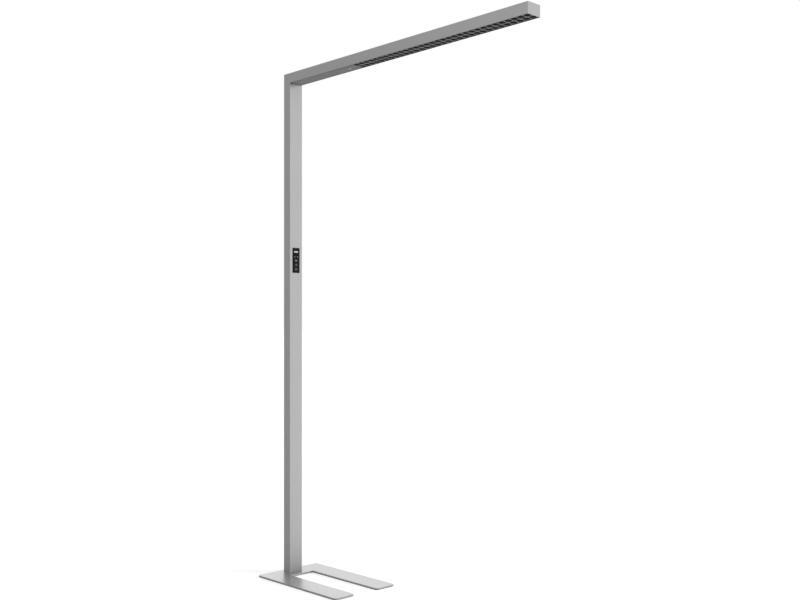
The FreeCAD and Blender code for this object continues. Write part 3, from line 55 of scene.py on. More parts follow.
class Graph:
    """A node tree with short calls for its nodes and links."""

    def __init__(self, tree, output="ShaderNodeOutputMaterial"):
        self.tree = tree
        self.output = output
        tree.nodes.clear()

    def node(self, kind, inputs=None, **settings):
        made = self.tree.nodes.new(kind)
        for key, value in settings.items():
            setattr(made, key, value)
        for key, value in (inputs or {}).items():
            self.feed(made.inputs[key], value)
        return made

    def feed(self, socket, value):
        if isinstance(value, bpy.types.NodeSocket):
            self.tree.links.new(value, socket)
        else:
            socket.default_value = value

    def place(self):
        """Where a point of the surface is, in metres."""
        return self.node("ShaderNodeTexCoord").outputs["Object"]

    def facing(self, axis):
        """How far the surface looks along an axis, from -1 to 1."""
        normal = self.node("ShaderNodeNewGeometry").outputs["Normal"]
        return self.node("ShaderNodeSeparateXYZ", {0: normal}).outputs[axis]

    def noise(self, where, scale, detail, rough):
        return self.node(
            "ShaderNodeTexNoise",
            {"Vector": where, "Scale": scale, "Detail": detail, "Roughness": rough},
        ).outputs["Fac"]

    def math(self, operation, first, second):
        return self.node(
            "ShaderNodeMath", {0: first, 1: second}, operation=operation
        ).outputs[0]

    def weigh(self, first, second, share):
        """Two values added up, the first by its share and the second by the rest of 1."""
        return self.math("ADD", self.math("MULTIPLY", first, share),
                         self.math("MULTIPLY", second, 1 - share))

    def spread(self, value, low, high, from_low=0.3, from_high=0.7):
        """A value that goes from low to high while the given one crosses the from limits."""
        return self.node(
            "ShaderNodeMapRange",
            {"Value": value, "From Min": from_low, "From Max": from_high,
             "To Min": low, "To Max": high},
        ).outputs[0]

    def shades(self, factor, first, second):
        """A mix of two colours, each a tuple or another node's output."""
        mixed = self.node("ShaderNodeMix", {"Factor": factor}, data_type="RGBA")
        for socket, colour in ((mixed.inputs[6], first), (mixed.inputs[7], second)):
            is_output = isinstance(colour, bpy.types.NodeSocket)
            self.feed(socket, colour if is_output else (*colour, 1.0))
        return mixed.outputs[2]

    def bump(self, height, strength, depth):
        return self.node(
            "ShaderNodeBump", {"Height": height, "Strength": strength, "Distance": depth}
        ).outputs[0]

    def show(self, shader):
        self.feed(self.node(self.output).inputs["Surface"], shader.outputs[0])

    def show_principled(self, inputs, constants):
        """Ends the graph in its shader. The constants' names have _ for each space."""
        shader = self.node("ShaderNodeBsdfPrincipled", inputs)
        for key, value in constants.items():
            shader.inputs[key.replace("_", " ")].default_value = value
        self.show(shader)


def new_material(name):
    """A new material and the graph of its nodes."""
    made = bpy.data.materials.new(name)
    made.use_nodes = True
    return made, Graph(made.node_tree)


def grey(level):
    return (level, level, level)


def scaled(colour, share):
    return tuple(min(channel * share, 1.0) for channel in colour)


# ---- materials --------------------------------------------------------------------------

CLOUD_SCALE = 14.0
GRAIN_SHARE = 0.45
GRAIN_STRENGTH = 0.25
COATED_GLOSS_SWING = 0.035


def coated(name, colour, rough, vary, grain, depth, along=(1.0, 1.0, 1.0), **constants):
    """A finish with a fine grain, faint clouds of tone and an uneven gloss.

    vary is how far the tone strays, grain the number of grains in a metre and depth their
    height in millimetres. along stretches them for a drawn or brushed surface.
    """
    made, graph = new_material(name)
    where = graph.place()
    drawn = graph.node("ShaderNodeMapping", {"Vector": where, "Scale": along}).outputs[0]
    fine = graph.noise(drawn, grain, detail=3.0, rough=0.6)
    broad = graph.noise(where, CLOUD_SCALE, detail=4.0, rough=0.55)
    tone = graph.spread(
        graph.weigh(fine, broad, GRAIN_SHARE), 0.0, 1.0, from_low=0.35, from_high=0.65
    )
    tint = graph.shades(tone, scaled(colour, 1 - vary), scaled(colour, 1 + vary))
    gloss = graph.spread(broad, rough - COATED_GLOSS_SWING, rough + COATED_GLOSS_SWING)
    graph.show_principled(
        {"Base Color": tint, "Roughness": gloss,
         "Normal": graph.bump(fine, GRAIN_STRENGTH, depth * MM)},
        constants,
    )
    return made


PEEL_SCALE = 900.0
PEEL_STRENGTH = 0.12
PEEL_DEPTH = 0.02 * MM
FLAKE_SCALE = 2600.0
DRIFT_SCALE = 5.0
POWDER_TONE_SWING = 0.025
POWDER_GLOSS_SWING = 0.02
# Painted shade at the mast's foot: the colour fades towards FOOT_SHADE_COLOUR near the floor.
FOOT_HALVING_HEIGHT = 0.045
FOOT_SHADE_COLOUR = 0.3
FOOT_SIDE_SHARE = 0.45
UNDER_DULLNESS = 0.4


def powder_coat(name, colour, rough, metal, edge_shade=1.0, foot_shade=0.0, under_shade=1.0,
                flake=0.35, **constants):
    """Silver powder coat: bright flakes in a fine orange peel, and a softer sheen.

    edge_shade darkens the upright sides against the faces that look up: painted shade.
    foot_shade is how much darker the coat is painted towards floor level, most on the faces
    that look along
    +X: painted shade at the foot. under_shade darkens the faces that look down: painted shade.
    flake is the flakes' share of the tone.
    """
    made, graph = new_material(name)
    where = graph.place()
    peel = graph.noise(where, PEEL_SCALE, detail=2.0, rough=0.5)
    flakes = graph.node(
        "ShaderNodeTexVoronoi", {"Vector": where, "Scale": FLAKE_SCALE}
    ).outputs["Distance"]
    drift = graph.noise(where, DRIFT_SCALE, detail=3.0, rough=0.5)
    tint = graph.shades(
        graph.spread(graph.weigh(flakes, drift, flake), 0.0, 1.0),
        scaled(colour, 1 - POWDER_TONE_SWING), scaled(colour, 1 + POWDER_TONE_SWING),
    )
    metallic = metal
    gloss = graph.spread(drift, rough - POWDER_GLOSS_SWING, rough + POWDER_GLOSS_SWING)
    # Painted shade: darker towards the foot, most on the faces that look along +X.
    if foot_shade:
        height = graph.node("ShaderNodeSeparateXYZ", {0: where}).outputs["Z"]
        fade = graph.math("POWER", 0.5, graph.math("DIVIDE", height, FOOT_HALVING_HEIGHT))
        amount = graph.spread(
            graph.facing("X"), foot_shade * FOOT_SIDE_SHARE, foot_shade,
            from_low=0.2, from_high=0.8,
        )
        foot_shading = graph.math("MULTIPLY", fade, amount)
        tint = graph.shades(foot_shading, tint, scaled(colour, FOOT_SHADE_COLOUR))
    # Painted shade on the faces that look down, which are also made matt and not metallic.
    if under_shade != 1.0:
        under = graph.spread(graph.facing("Z"), 1.0, 0.0, from_low=-0.8, from_high=-0.5)
        tint = graph.shades(under, tint, scaled(colour, under_shade))
        metallic = graph.math("MULTIPLY", graph.math("SUBTRACT", 1.0, under), metal)
        gloss = graph.math("ADD", gloss, graph.math("MULTIPLY", under, UNDER_DULLNESS))
    # Painted shade: the upright sides darker than the faces that look up, and not metallic.
    if edge_shade != 1.0:
        top = graph.spread(graph.facing("Z"), 0.0, 1.0, from_low=0.35, from_high=0.8)
        tint = graph.shades(top, scaled(colour, edge_shade), tint)
        metallic = graph.math("MULTIPLY", top, metal)
    graph.show_principled(
        {"Base Color": tint, "Metallic": metallic, "Roughness": gloss,
         "Normal": graph.bump(peel, PEEL_STRENGTH, PEEL_DEPTH)},
        constants,
    )
    return made


MATERIALS = {
    # The profile carries painted shade at its foot and on the faces that look down.
    "profile": powder_coat(
        "silver_profile", grey(0.46), rough=0.48, metal=0.12, foot_shade=0.7, under_shade=0.12,
        Specular_IOR_Level=0.25,
    ),
    "cover": powder_coat(
        "silver_cover", grey(0.47), rough=0.6, metal=0.0, Specular_IOR_Level=0.1,
    ),
    # The base's upright sides carry painted shade.
    "base": powder_coat(
        "silver_base", grey(0.63), rough=0.31, metal=1.0, edge_shade=0.6, flake=0.15,
    ),
    "underlay": coated(
        "underlay", grey(0.035), rough=0.75, vary=0.15, grain=900.0, depth=0.05,
    ),
    "louvre": coated(
        "louvre_black", grey(0.19), rough=0.45, vary=0.08, grain=1800.0, depth=0.02,
        Specular_IOR_Level=0.3,
    ),
    "cup": coated(
        "louvre_cup", grey(0.045), rough=0.22, vary=0.08, grain=1400.0, depth=0.005,
        Specular_IOR_Level=0.4,
    ),
    "panel": coated(
        "panel_black", grey(0.010), rough=0.42, vary=0.12, grain=2200.0, depth=0.02,
        Specular_IOR_Level=0.04,
    ),
    "key": coated(
        "key_black", grey(0.016), rough=0.5, vary=0.12, grain=2600.0, depth=0.02,
        Specular_IOR_Level=0.09,
    ),
    "mark": coated(
        "mark_grey", grey(0.40), rough=0.55, vary=0.04, grain=2600.0, depth=0.01,
    ),
    "window": coated(
        "window_grey", grey(0.48), rough=0.22, vary=0.03, grain=800.0, depth=0.005,
        Coat_Weight=0.2,
    ),
    "sensor": coated(
        "sensor_white", grey(0.9), rough=0.2, vary=0.02, grain=900.0, depth=0.01,
        Coat_Weight=1.0,
    ),
    "opal": coated(
        "opal", (0.86, 0.86, 0.84), rough=0.38, vary=0.015, grain=1200.0, depth=0.01,
        Subsurface_Weight=0.15, Subsurface_Scale=0.002,
    ),
    "clear": coated(
        "clear", (0.93, 0.94, 0.95), rough=0.08, vary=0.01, grain=500.0, depth=0.003,
        Transmission_Weight=0.9, IOR=1.49,
    ),
    "steel": coated(
        "steel", grey(0.52), rough=0.3, vary=0.05, grain=700.0, depth=0.01, along=(1, 1, 8),
        Metallic=1.0,
    ),
    "bracket": coated(
        "bracket_metal", grey(0.5), rough=0.45, vary=0.06, grain=500.0, depth=0.05,
        Metallic=0.9,
    ),
    "board_white": coated(
        "board_white", (0.8, 0.81, 0.79), rough=0.4, vary=0.03, grain=900.0, depth=0.01,
    ),
    "board_green": coated(
        "board_green", (0.03, 0.17, 0.08), rough=0.35, vary=0.12, grain=600.0, depth=0.02,
    ),
    "switch": coated(
        "switch_dark", grey(0.06), rough=0.4, vary=0.1, grain=1500.0, depth=0.02,
    ),
    "driver": coated(
        "driver_white", (0.76, 0.76, 0.75), rough=0.45, vary=0.02, grain=1500.0, depth=0.03,
    ),
    "housing": coated(
        "housing_grey", grey(0.2), rough=0.5, vary=0.06, grain=1500.0, depth=0.03,
    ),
    "terminal": coated(
        "terminal_white", (0.74, 0.73, 0.7), rough=0.4, vary=0.03, grain=1200.0, depth=0.02,
    ),
    "lead_black": coated(
        "lead_black", grey(0.02), rough=0.45, vary=0.15, grain=700.0, depth=0.03,
    ),
    "lead_grey": coated(
        "lead_grey", grey(0.3), rough=0.45, vary=0.05, grain=700.0, depth=0.03,
    ),
    "gland": coated(
        "gland_black", grey(0.02), rough=0.4, vary=0.12, grain=1800.0, depth=0.03,
    ),
    "seal": coated(
        "seal_black", grey(0.012), rough=0.7, vary=0.2, grain=900.0, depth=0.05,
        Specular_IOR_Level=0.1,
    ),
}

NODE_FINISH = {
    "base_plate": "base",
    "floor_underlay": "underlay",
    "foot_block": "bracket",
    "mast_profile": "profile",
    "head_profile": "profile",
    "end_cap": "profile",
    "bottom_cover": "cover",
    "corner_bracket": "bracket",
    "panel_frame": "panel",
    "panel_window": "window",
    "sensor_lens": "sensor",
    "sensor_housing": "housing",
    "sensor_board": "board_green",
    "keypad_board": "board_green",
    "tact_switches": "switch",
    "uplight_cover": "opal",
    "driver": "driver",
    "terminal_block": "terminal",
    "mains_lead": "lead_black",
    "keypad_lead": "lead_grey",
    "sensor_lead": "lead_grey",
    "downlight_lead": "lead_grey",
    "uplight_lead": "lead_grey",
    "cable_gland": "gland",
    "gland_nut": "gland",
}
PREFIX_FINISH = {
    "louvre_": "louvre",
    "lens_array_": "clear",
    "downlight_board_screws": "steel",
    "uplight_board_screws": "steel",
    "downlight_board_": "board_white",
    "uplight_board_": "board_white",
    "key_": "key",
}


def finish_of(name):
    """The finish of a CAD node. The ones that neither table names are screws."""
    if name in NODE_FINISH:
        return NODE_FINISH[name]
    for prefix, finish in PREFIX_FINISH.items():
        if name.startswith(prefix):
            return finish
    return "steel"


for name, node in nodes.items():
    node.data.materials.clear()
    node.data.materials.append(MATERIALS[finish_of(name)])


# ---- object and mesh helpers ------------------------------------------------------------


def new_object(name, data):
    made = bpy.data.objects.new(name, data)
    bpy.context.scene.collection.objects.link(made)
    return made


def mesh_object(name, mesh, materials):
    """An object from a bmesh, which is freed."""
    data = bpy.data.meshes.new(name)
    mesh.to_mesh(data)
    mesh.free()
    for material in materials:
        data.materials.append(material)
    return new_object(name, data)


def piece(name, mesh, finishes, body, smooth_angle=35.0):
    """A mesh as a piece of the lamp, smooth but for its sharp edges."""
    bmesh.ops.remove_doubles(mesh, verts=mesh.verts, dist=TOLERANCE)
    bmesh.ops.recalc_face_normals(mesh, faces=mesh.faces)
    limit = math.radians(smooth_angle)
    for face in mesh.faces:
        face.smooth = True
    for edge in mesh.edges:
        if len(edge.link_faces) != 2 or edge.calc_face_angle() > limit:
            edge.smooth = False
    made = mesh_object(name, mesh, [MATERIALS[finish] for finish in finishes])
    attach(made, body)
    return made


def loft(mesh, rings, closed=False):
    """Quads between rings of points, and from the last ring to the first where closed."""
    rows = [[mesh.verts.new(point) for point in ring] for ring in rings]
    pairs = list(zip(rows, rows[1:]))
    if closed:
        pairs.append((rows[-1], rows[0]))
    for low, high in pairs:
        count = len(low)
        for index in range(count):
            after = (index + 1) % count
            mesh.faces.new((low[index], low[after], high[after], high[index]))
    return rows


def capped_loft(mesh, rings):
    """A loft with its first and last rings filled. Returns the face in the last one."""
    rows = loft(mesh, rings)
    mesh.faces.new(rows[0])
    return mesh.faces.new(rows[-1])


# ---- louvre: rounded-square mouths that curve in to round throats -----------------------

MODULES = 4
MODULE_CELLS = 8
MODULE_GAP = 0.2 * MM
CELL_PITCH = 26.1 * MM
CELL_SIDES = 32
LOUVRE_LOW = 1961.5 * MM
LOUVRE_HIGH = 1977.4 * MM
LOUVRE_HALF = 28.3 * MM
ROW_MIDDLE = 13.05 * MM
MOUTH_HALF = 10.8 * MM
MOUTH_CORNER = 8.6 * MM
THROAT_RADIUS = 7.0 * MM
LIP = 1.2 * MM
LIP_STEPS = 3
CUP_STEPS = 9
CUP_CURVE = 0.62
CUP_ROUNDING = 1.4
CUP_START = LOUVRE_LOW + LIP * 0.8
# The faces are level as far as FLAT_HALF. Beyond it the lower one slopes up to its edges.
FLAT_HALF = ROW_MIDDLE + MOUTH_HALF + LIP + 0.3 * MM
SIDE_RISE = 2.0 * MM
LEVEL_NORMAL = 0.98

STRIP_LOW = 1960.8 * MM
STRIP_HIGH = 1963.4 * MM
STRIP_WIDTH = 0.5 * MM


def square_point(turn, half, corner):
    """A point of a rounded square at an angle from its middle."""
    across, along = math.cos(turn), math.sin(turn)
    reach = half / max(abs(across), abs(along))
    x, y = across * reach, along * reach
    inner = half - corner
    if abs(x) > inner and abs(y) > inner:
        centre_x, centre_y = math.copysign(inner, x), math.copysign(inner, y)
        dot = across * centre_x + along * centre_y
        rest = centre_x ** 2 + centre_y ** 2 - corner ** 2
        reach = dot + math.sqrt(max(dot * dot - rest, 0.0))
        x, y = across * reach, along * reach
    return x, y


def cell_rings(middle_x, middle_y, low_x, high_x, low_y, high_y):
    """The rings of one cell from its tile's edge, round the lip, up the cup to the top."""
    turns = [2 * math.pi * step / CELL_SIDES for step in range(CELL_SIDES)]

    def tile(z):
        """The tile's outline, with a point at each of its four corners."""
        ring = []
        for step, turn in enumerate(turns):
            across, along = math.cos(turn), math.sin(turn)
            edge_x = high_x if across > 0 else low_x
            edge_y = high_y if along > 0 else low_y
            if step % (CELL_SIDES // 4) == CELL_SIDES // 8:
                ring.append(Vector((edge_x, edge_y, z)))
                continue
            reach = min(
                abs(edge_x - middle_x) / max(abs(across), TINY),
                abs(edge_y - middle_y) / max(abs(along), TINY),
            )
            ring.append(Vector((middle_x + across * reach, middle_y + along * reach, z)))
        return ring

    def rounded(half, corner, z):
        ring = []
        for turn in turns:
            x, y = square_point(turn, half, corner)
            ring.append(Vector((middle_x + x, middle_y + y, z)))
        return ring

    rings = [tile(LOUVRE_LOW)]
    for step in range(LIP_STEPS + 1):
        angle = math.pi / 2 * step / LIP_STEPS
        outward, upward = LIP * (1 - math.sin(angle)), LIP * (1 - math.cos(angle))
        rings.append(
            rounded(MOUTH_HALF + outward, MOUTH_CORNER + outward, LOUVRE_LOW + upward)
        )
    for step in range(1, CUP_STEPS + 1):
        rise = step / CUP_STEPS
        close = 1 - (1 - rise) ** CUP_CURVE
        rounding = min(rise * CUP_ROUNDING, 1.0)
        half = MOUTH_HALF + (THROAT_RADIUS - MOUTH_HALF) * close
        corner = MOUTH_CORNER + (THROAT_RADIUS - MOUTH_CORNER) * rounding
        z = LOUVRE_LOW + LIP + (LOUVRE_HIGH - LOUVRE_LOW - LIP) * rise
        rings.append(rounded(half, min(corner, half), z))
    rings.append(tile(LOUVRE_HIGH))
    return rings


def widen(mesh, level, rise):
    """Carries the two long sides of a face at one level out to the louvre's edges."""
    sides = [
        edge for edge in mesh.edges
        if edge.is_boundary
        and all(abs(vert.co.z - level) < TOLERANCE for vert in edge.verts)
        and all(abs(abs(vert.co.y) - FLAT_HALF) < TOLERANCE for vert in edge.verts)
    ]
    made = bmesh.ops.extrude_edge_only(mesh, edges=sides)["geom"]
    for vert in [item for item in made if isinstance(item, bmesh.types.BMVert)]:
        vert.co.y = math.copysign(LOUVRE_HALF, vert.co.y)
        vert.co.z += rise


def add_louvres():
    for module in range(1, MODULES + 1):
        low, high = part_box(f"louvre_{module}")
        start = low.x - MODULE_GAP / 2
        mesh = bmesh.new()
        for cell in range(MODULE_CELLS):
            low_x = low.x if cell == 0 else start + cell * CELL_PITCH
            is_last = cell == MODULE_CELLS - 1
            high_x = high.x if is_last else start + (cell + 1) * CELL_PITCH
            for side in (-1, 1):
                low_y, high_y = (0.0, FLAT_HALF) if side > 0 else (-FLAT_HALF, 0.0)
                loft(mesh, cell_rings(
                    start + (cell + 0.5) * CELL_PITCH, side * ROW_MIDDLE,
                    low_x, high_x, low_y, high_y,
                ))
        bmesh.ops.remove_doubles(mesh, verts=mesh.verts, dist=TOLERANCE)
        widen(mesh, LOUVRE_LOW, SIDE_RISE)
        widen(mesh, LOUVRE_HIGH, 0.0)
        rim = [edge for edge in mesh.edges if edge.is_boundary]
        bmesh.ops.bridge_loops(mesh, edges=rim)
        for face in mesh.faces:
            if abs(face.normal.z) < LEVEL_NORMAL and face.calc_center_median().z > CUP_START:
                face.material_index = 1
        cups = piece(
            f"louvre_cups_{module}", mesh, ["louvre", "cup"], "lamp"
        )
        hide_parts(f"louvre_{module}")


def add_louvre_edges():
    """A dark strip along each side of the louvre, inside the head profile's edge bead."""
    start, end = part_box("louvre_1")[0].x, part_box("louvre_4")[1].x
    for name, side in (("louvre_edge_near", -1), ("louvre_edge_far", 1)):
        outer, inner = side * LOUVRE_HALF, side * (LOUVRE_HALF - STRIP_WIDTH)
        corners = [(outer, STRIP_HIGH), (outer, STRIP_LOW),
                   (inner, STRIP_LOW), (inner, STRIP_HIGH)]
        mesh = bmesh.new()
        capped_loft(mesh, [[Vector((x, y, z)) for y, z in corners] for x in (start, end)])
        piece(name, mesh, ["seal"], "lamp")


add_louvres()
add_louvre_edges()


# ---- key marks: thin printed signs that ride on their keys ------------------------------

KEY_FACE = 20.95 * MM
MARK_LIFT = 0.04 * MM
MARK_SINK = 0.05 * MM
MARK_BACK = KEY_FACE - MARK_SINK
MARK_FRONT = KEY_FACE + MARK_LIFT
STROKE = 0.9 * MM
SIGN_WIDTH = 5.0 * MM
MINUS_STROKE = 1.5 * MM
PLUS_STROKE = 1.4 * MM
LINE_WIDTH = 11 * MM
LINE_STROKE = 1.2 * MM
BEAM_OFFSETS = (-4.2, 0, 4.2)
BEAM_MIDDLE = 3.1 * MM
BEAM_LENGTH = 2.6 * MM
BEAM_LEAN = 5
SUN_RADIUS = 1.9 * MM
SUN_RAYS = 8
RAY_MIDDLE = 4.1 * MM
RAY_LENGTH = 1.7 * MM
RAY_STROKE = 0.8 * MM
POWER_RADIUS = 3.6 * MM
POWER_START, POWER_END = 125, 415
POWER_MIDDLE = 2.6 * MM
POWER_LENGTH = 4.2 * MM
ARC_STEPS = 48


def add_prism(mesh, corners):
    """A thin slab in the key's face, from corners given as (y, z)."""
    capped_loft(mesh, [
        [Vector((x, y, z)) for y, z in corners] for x in (MARK_BACK, MARK_FRONT)
    ])


def bar(mesh, y, z, width, length, turn=0.0):
    """A bar about a middle, turned in the key's plane."""
    cos, sin = math.cos(math.radians(turn)), math.sin(math.radians(turn))
    corners = []
    for across, along in ((-1, -1), (1, -1), (1, 1), (-1, 1)):
        dy, dz = across * width / 2, along * length / 2
        corners.append((y + dy * cos - dz * sin, z + dy * sin + dz * cos))
    add_prism(mesh, corners)


def cross(mesh, y, z, width, stroke):
    """A plus sign as one outline."""
    out, inn = width / 2, stroke / 2
    corners = [(out, -inn), (out, inn), (inn, inn), (inn, out), (-inn, out), (-inn, inn),
               (-out, inn), (-out, -inn), (-inn, -inn), (-inn, -out), (inn, -out), (inn, -inn)]
    add_prism(mesh, [(y + dy, z + dz) for dy, dz in corners])


def arc(mesh, y, z, radius, start, end):
    """A curved stroke between two angles in degrees, counted from +Y towards +Z."""
    closed = end - start >= 360
    inner, outer = radius - STROKE / 2, radius + STROKE / 2
    section = ((MARK_BACK, inner), (MARK_BACK, outer), (MARK_FRONT, outer), (MARK_FRONT, inner))
    rings = []
    for step in range(ARC_STEPS if closed else ARC_STEPS + 1):
        turn = math.radians(start + (end - start) * step / ARC_STEPS)
        cos, sin = math.cos(turn), math.sin(turn)
        rings.append([Vector((x, y + reach * cos, z + reach * sin)) for x, reach in section])
    if closed:
        loft(mesh, rings, closed)
    else:
        capped_loft(mesh, rings)


def minus_sign(mesh, y, z):
    bar(mesh, y, z, SIGN_WIDTH, MINUS_STROKE)


def plus_sign(mesh, y, z):
    cross(mesh, y, z, SIGN_WIDTH, PLUS_STROKE)


def up_down_sign(mesh, y, z):
    """A line with three beams above it and three below."""
    bar(mesh, y, z, LINE_WIDTH, LINE_STROKE)
    for side in (-1, 1):
        for across in BEAM_OFFSETS:
            bar(mesh, y + across * MM, z + side * BEAM_MIDDLE, STROKE, BEAM_LENGTH,
                -side * across * BEAM_LEAN)


def brightness_sign(mesh, y, z):
    """A ring with rays around it."""
    arc(mesh, y, z, SUN_RADIUS, 0, 360)
    for step in range(SUN_RAYS):
        turn = step * 360 / SUN_RAYS
        out = math.radians(turn)
        bar(mesh, y + RAY_MIDDLE * math.cos(out), z + RAY_MIDDLE * math.sin(out),
            RAY_LENGTH, RAY_STROKE, turn)


def power_sign(mesh, y, z):
    """An open ring with a bar in its gap."""
    arc(mesh, y, z, POWER_RADIUS, POWER_START, POWER_END)
    bar(mesh, y, z + POWER_MIDDLE, STROKE, POWER_LENGTH)


KEY_SIGNS = {
    "key_left": minus_sign,
    "key_right": plus_sign,
    "key_upper": up_down_sign,
    "key_middle": brightness_sign,
    "key_lower": power_sign,
}


def add_marks():
    for key, draw_sign in KEY_SIGNS.items():
        low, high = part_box(key)
        mesh = bmesh.new()
        draw_sign(mesh, (low.y + high.y) / 2, (low.z + high.z) / 2)
        piece(f"{key}_mark", mesh, ["mark"], key)


add_marks()


# ---- panel window: a plate with a black printed border ----------------------------------

WINDOW_FOOT = 0.8 * MM
WINDOW_FLANGE = 0.9 * MM
WINDOW_BEVEL = 0.2 * MM
BORDER_SIDE = 1.45 * MM
BORDER_TOP = 0.5 * MM
BORDER_LOWER = 1.5 * MM
BORDER_THICKNESS = 0.05 * MM
PLATE_CORNER = 0.3 * MM
BEVEL_CORNER = 0.2 * MM
PANE_CORNER = 0.8 * MM
CORNER_STEPS = 6


def add_window():
    low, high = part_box("panel_window")

    def ring(x, corner, side, top, lower):
        """A rounded rectangle, as far inside the plate's box as the three insets say."""
        half = high.y - side - corner
        base, roof = low.z + lower + corner, high.z - top - corner
        points = []
        for middle_y, middle_z, start in ((half, roof, 0), (-half, roof, 90),
                                          (-half, base, 180), (half, base, 270)):
            for step in range(CORNER_STEPS + 1):
                turn = math.radians(start + step * 90 / CORNER_STEPS)
                points.append(Vector((x, middle_y + corner * math.cos(turn),
                                      middle_z + corner * math.sin(turn))))
        return points

    foot_top = low.x + WINDOW_FOOT
    full = (0.0, 0.0, 0.0)
    face = (WINDOW_FLANGE,) * 3
    front = (WINDOW_FLANGE + WINDOW_BEVEL,) * 3
    pane = (WINDOW_FLANGE + BORDER_SIDE, WINDOW_FLANGE + BORDER_TOP,
            WINDOW_FLANGE + BORDER_LOWER)
    mesh = bmesh.new()
    pane_face = capped_loft(mesh, [
        ring(low.x, PLATE_CORNER, *full),
        ring(foot_top, PLATE_CORNER, *full),
        ring(foot_top, PLATE_CORNER, *face),
        ring(high.x - WINDOW_BEVEL, PLATE_CORNER, *face),
        ring(high.x, BEVEL_CORNER, *front),
        ring(high.x, PANE_CORNER, *pane),
        ring(high.x - BORDER_THICKNESS, PANE_CORNER, *pane),
    ])
    pane_face.material_index = 1
    plate = piece("window_plate", mesh, ["panel", "window"], "lamp")
    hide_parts("panel_window")


add_window()


# ---- sensor: a dome of small facets -----------------------------------------------------

SENSOR_NECK = 5.4 * MM
SENSOR_FACETS = 24
SENSOR_TIERS = 6
SENSOR_SMOOTH_ANGLE = 20.0
FACET_DENT = 0.018
DOME_FULLNESS = 0.75
TIER_STEP_OUT = 0.10 * MM
TIER_STEP_UP = 0.03 * MM
POLE_RADIUS = 0.02 * MM
COVER_LOW = 1961.5 * MM
COVER_TOP = 1963.0 * MM


def add_sensor():
    low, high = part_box("sensor_lens")
    middle_x = (low.x + high.x) / 2
    flange = (high.x - low.x) / 2

    def ring(radius, z, dent=0.0):
        """A circle whose every second point is pulled in, for the facets."""
        points = []
        for step in range(SENSOR_FACETS * 2):
            turn = math.pi * step / SENSOR_FACETS
            reach = radius * (1 - dent * (step % 2))
            x, y = middle_x + reach * math.cos(turn), reach * math.sin(turn)
            points.append(Vector((x, y, z)))
        return points

    rings = [ring(POLE_RADIUS, low.z)]
    for tier in range(1, SENSOR_TIERS):
        lean = math.pi / 2 * tier / SENSOR_TIERS
        radius = SENSOR_NECK * math.sin(lean) ** DOME_FULLNESS
        z = COVER_LOW - (COVER_LOW - low.z) * math.cos(lean)
        rings.append(ring(radius, z, FACET_DENT))
        rings.append(ring(radius + TIER_STEP_OUT, z + TIER_STEP_UP, FACET_DENT))
    rings += [ring(SENSOR_NECK, COVER_LOW), ring(SENSOR_NECK, COVER_TOP),
              ring(flange, COVER_TOP), ring(flange, high.z), ring(POLE_RADIUS, high.z)]
    mesh = bmesh.new()
    capped_loft(mesh, rings)
    dome = piece(
        "sensor_dome", mesh, ["sensor"], "lamp", SENSOR_SMOOTH_ANGLE
    )
    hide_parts("sensor_lens")


add_sensor()


# ---- mains inlet: ribbed gland with a soft seal -----------------------------------------

MAST_REAR = -19.65 * MM
GLAND_BORE = 3.8 * MM
GLAND_LIP = 4.6 * MM
GLAND_BARREL = 6.0 * MM
GLAND_FLANGE = 8.5 * MM
GLAND_SIDES = 72
GLAND_RIBS = 24
RIB_DEPTH = 0.35 * MM
RIB_START_DEPTH = 0.2 * MM


def add_gland():
    low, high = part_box("cable_gland")
    middle_z = (low.z + high.z) / 2

    def ring(radius, x, ribs=0.0):
        points = []
        for step in range(GLAND_SIDES):
            turn = 2 * math.pi * step / GLAND_SIDES
            reach = radius - ribs * (0.5 - 0.5 * math.cos(GLAND_RIBS * turn))
            y, z = reach * math.cos(turn), middle_z + reach * math.sin(turn)
            points.append(Vector((x, y, z)))
        return points

    mesh = bmesh.new()
    loft(mesh, [
        ring(GLAND_LIP, low.x + 0.5 * MM),
        ring(GLAND_LIP + 0.35 * MM, low.x),
        ring(GLAND_FLANGE - 1.3 * MM, low.x),
        ring(GLAND_FLANGE - 0.45 * MM, low.x + 0.35 * MM, RIB_START_DEPTH),
        ring(GLAND_FLANGE, low.x + 0.9 * MM, RIB_DEPTH),
        ring(GLAND_FLANGE, MAST_REAR - 0.4 * MM, RIB_DEPTH),
        ring(GLAND_FLANGE - 0.25 * MM, MAST_REAR),
        ring(GLAND_BARREL, MAST_REAR),
        ring(GLAND_BARREL, high.x - 0.4 * MM),
        ring(GLAND_BARREL - 0.4 * MM, high.x),
        ring(GLAND_LIP, high.x),
    ], closed=True)
    body = piece("gland_body", mesh, ["gland"], "lamp")
    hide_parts("cable_gland")

    mesh = bmesh.new()
    loft(mesh, [
        ring(GLAND_BORE + 0.35 * MM, low.x + 0.25 * MM),
        ring(GLAND_LIP, low.x + 0.6 * MM),
        ring(GLAND_LIP, high.x - 0.2 * MM),
        ring(GLAND_BORE, high.x - 0.2 * MM),
        ring(GLAND_BORE, low.x + 0.6 * MM),
    ], closed=True)
    piece("gland_seal", mesh, ["seal"], "lamp")


add_gland()


# ---- uplight strip: opal with fine ribs along it ----------------------------------------

UPLIGHT_FACE_HALF = 22.2 * MM
UPLIGHT_FOOT_HALF = 28.2 * MM
UPLIGHT_LEDGE = 1997.9 * MM
UPLIGHT_BEVEL = 0.3 * MM
UPLIGHT_PLAIN_EDGE = 0.6 * MM
UPLIGHT_RIBS = 22
UPLIGHT_SMOOTH_ANGLE = 25.0
# Where each groove's points are, as a share of the pitch, and how deep.
GROOVE = ((0.0, 0.0), (0.25, 0.1 * MM), (0.5, 0.14 * MM), (0.75, 0.1 * MM))


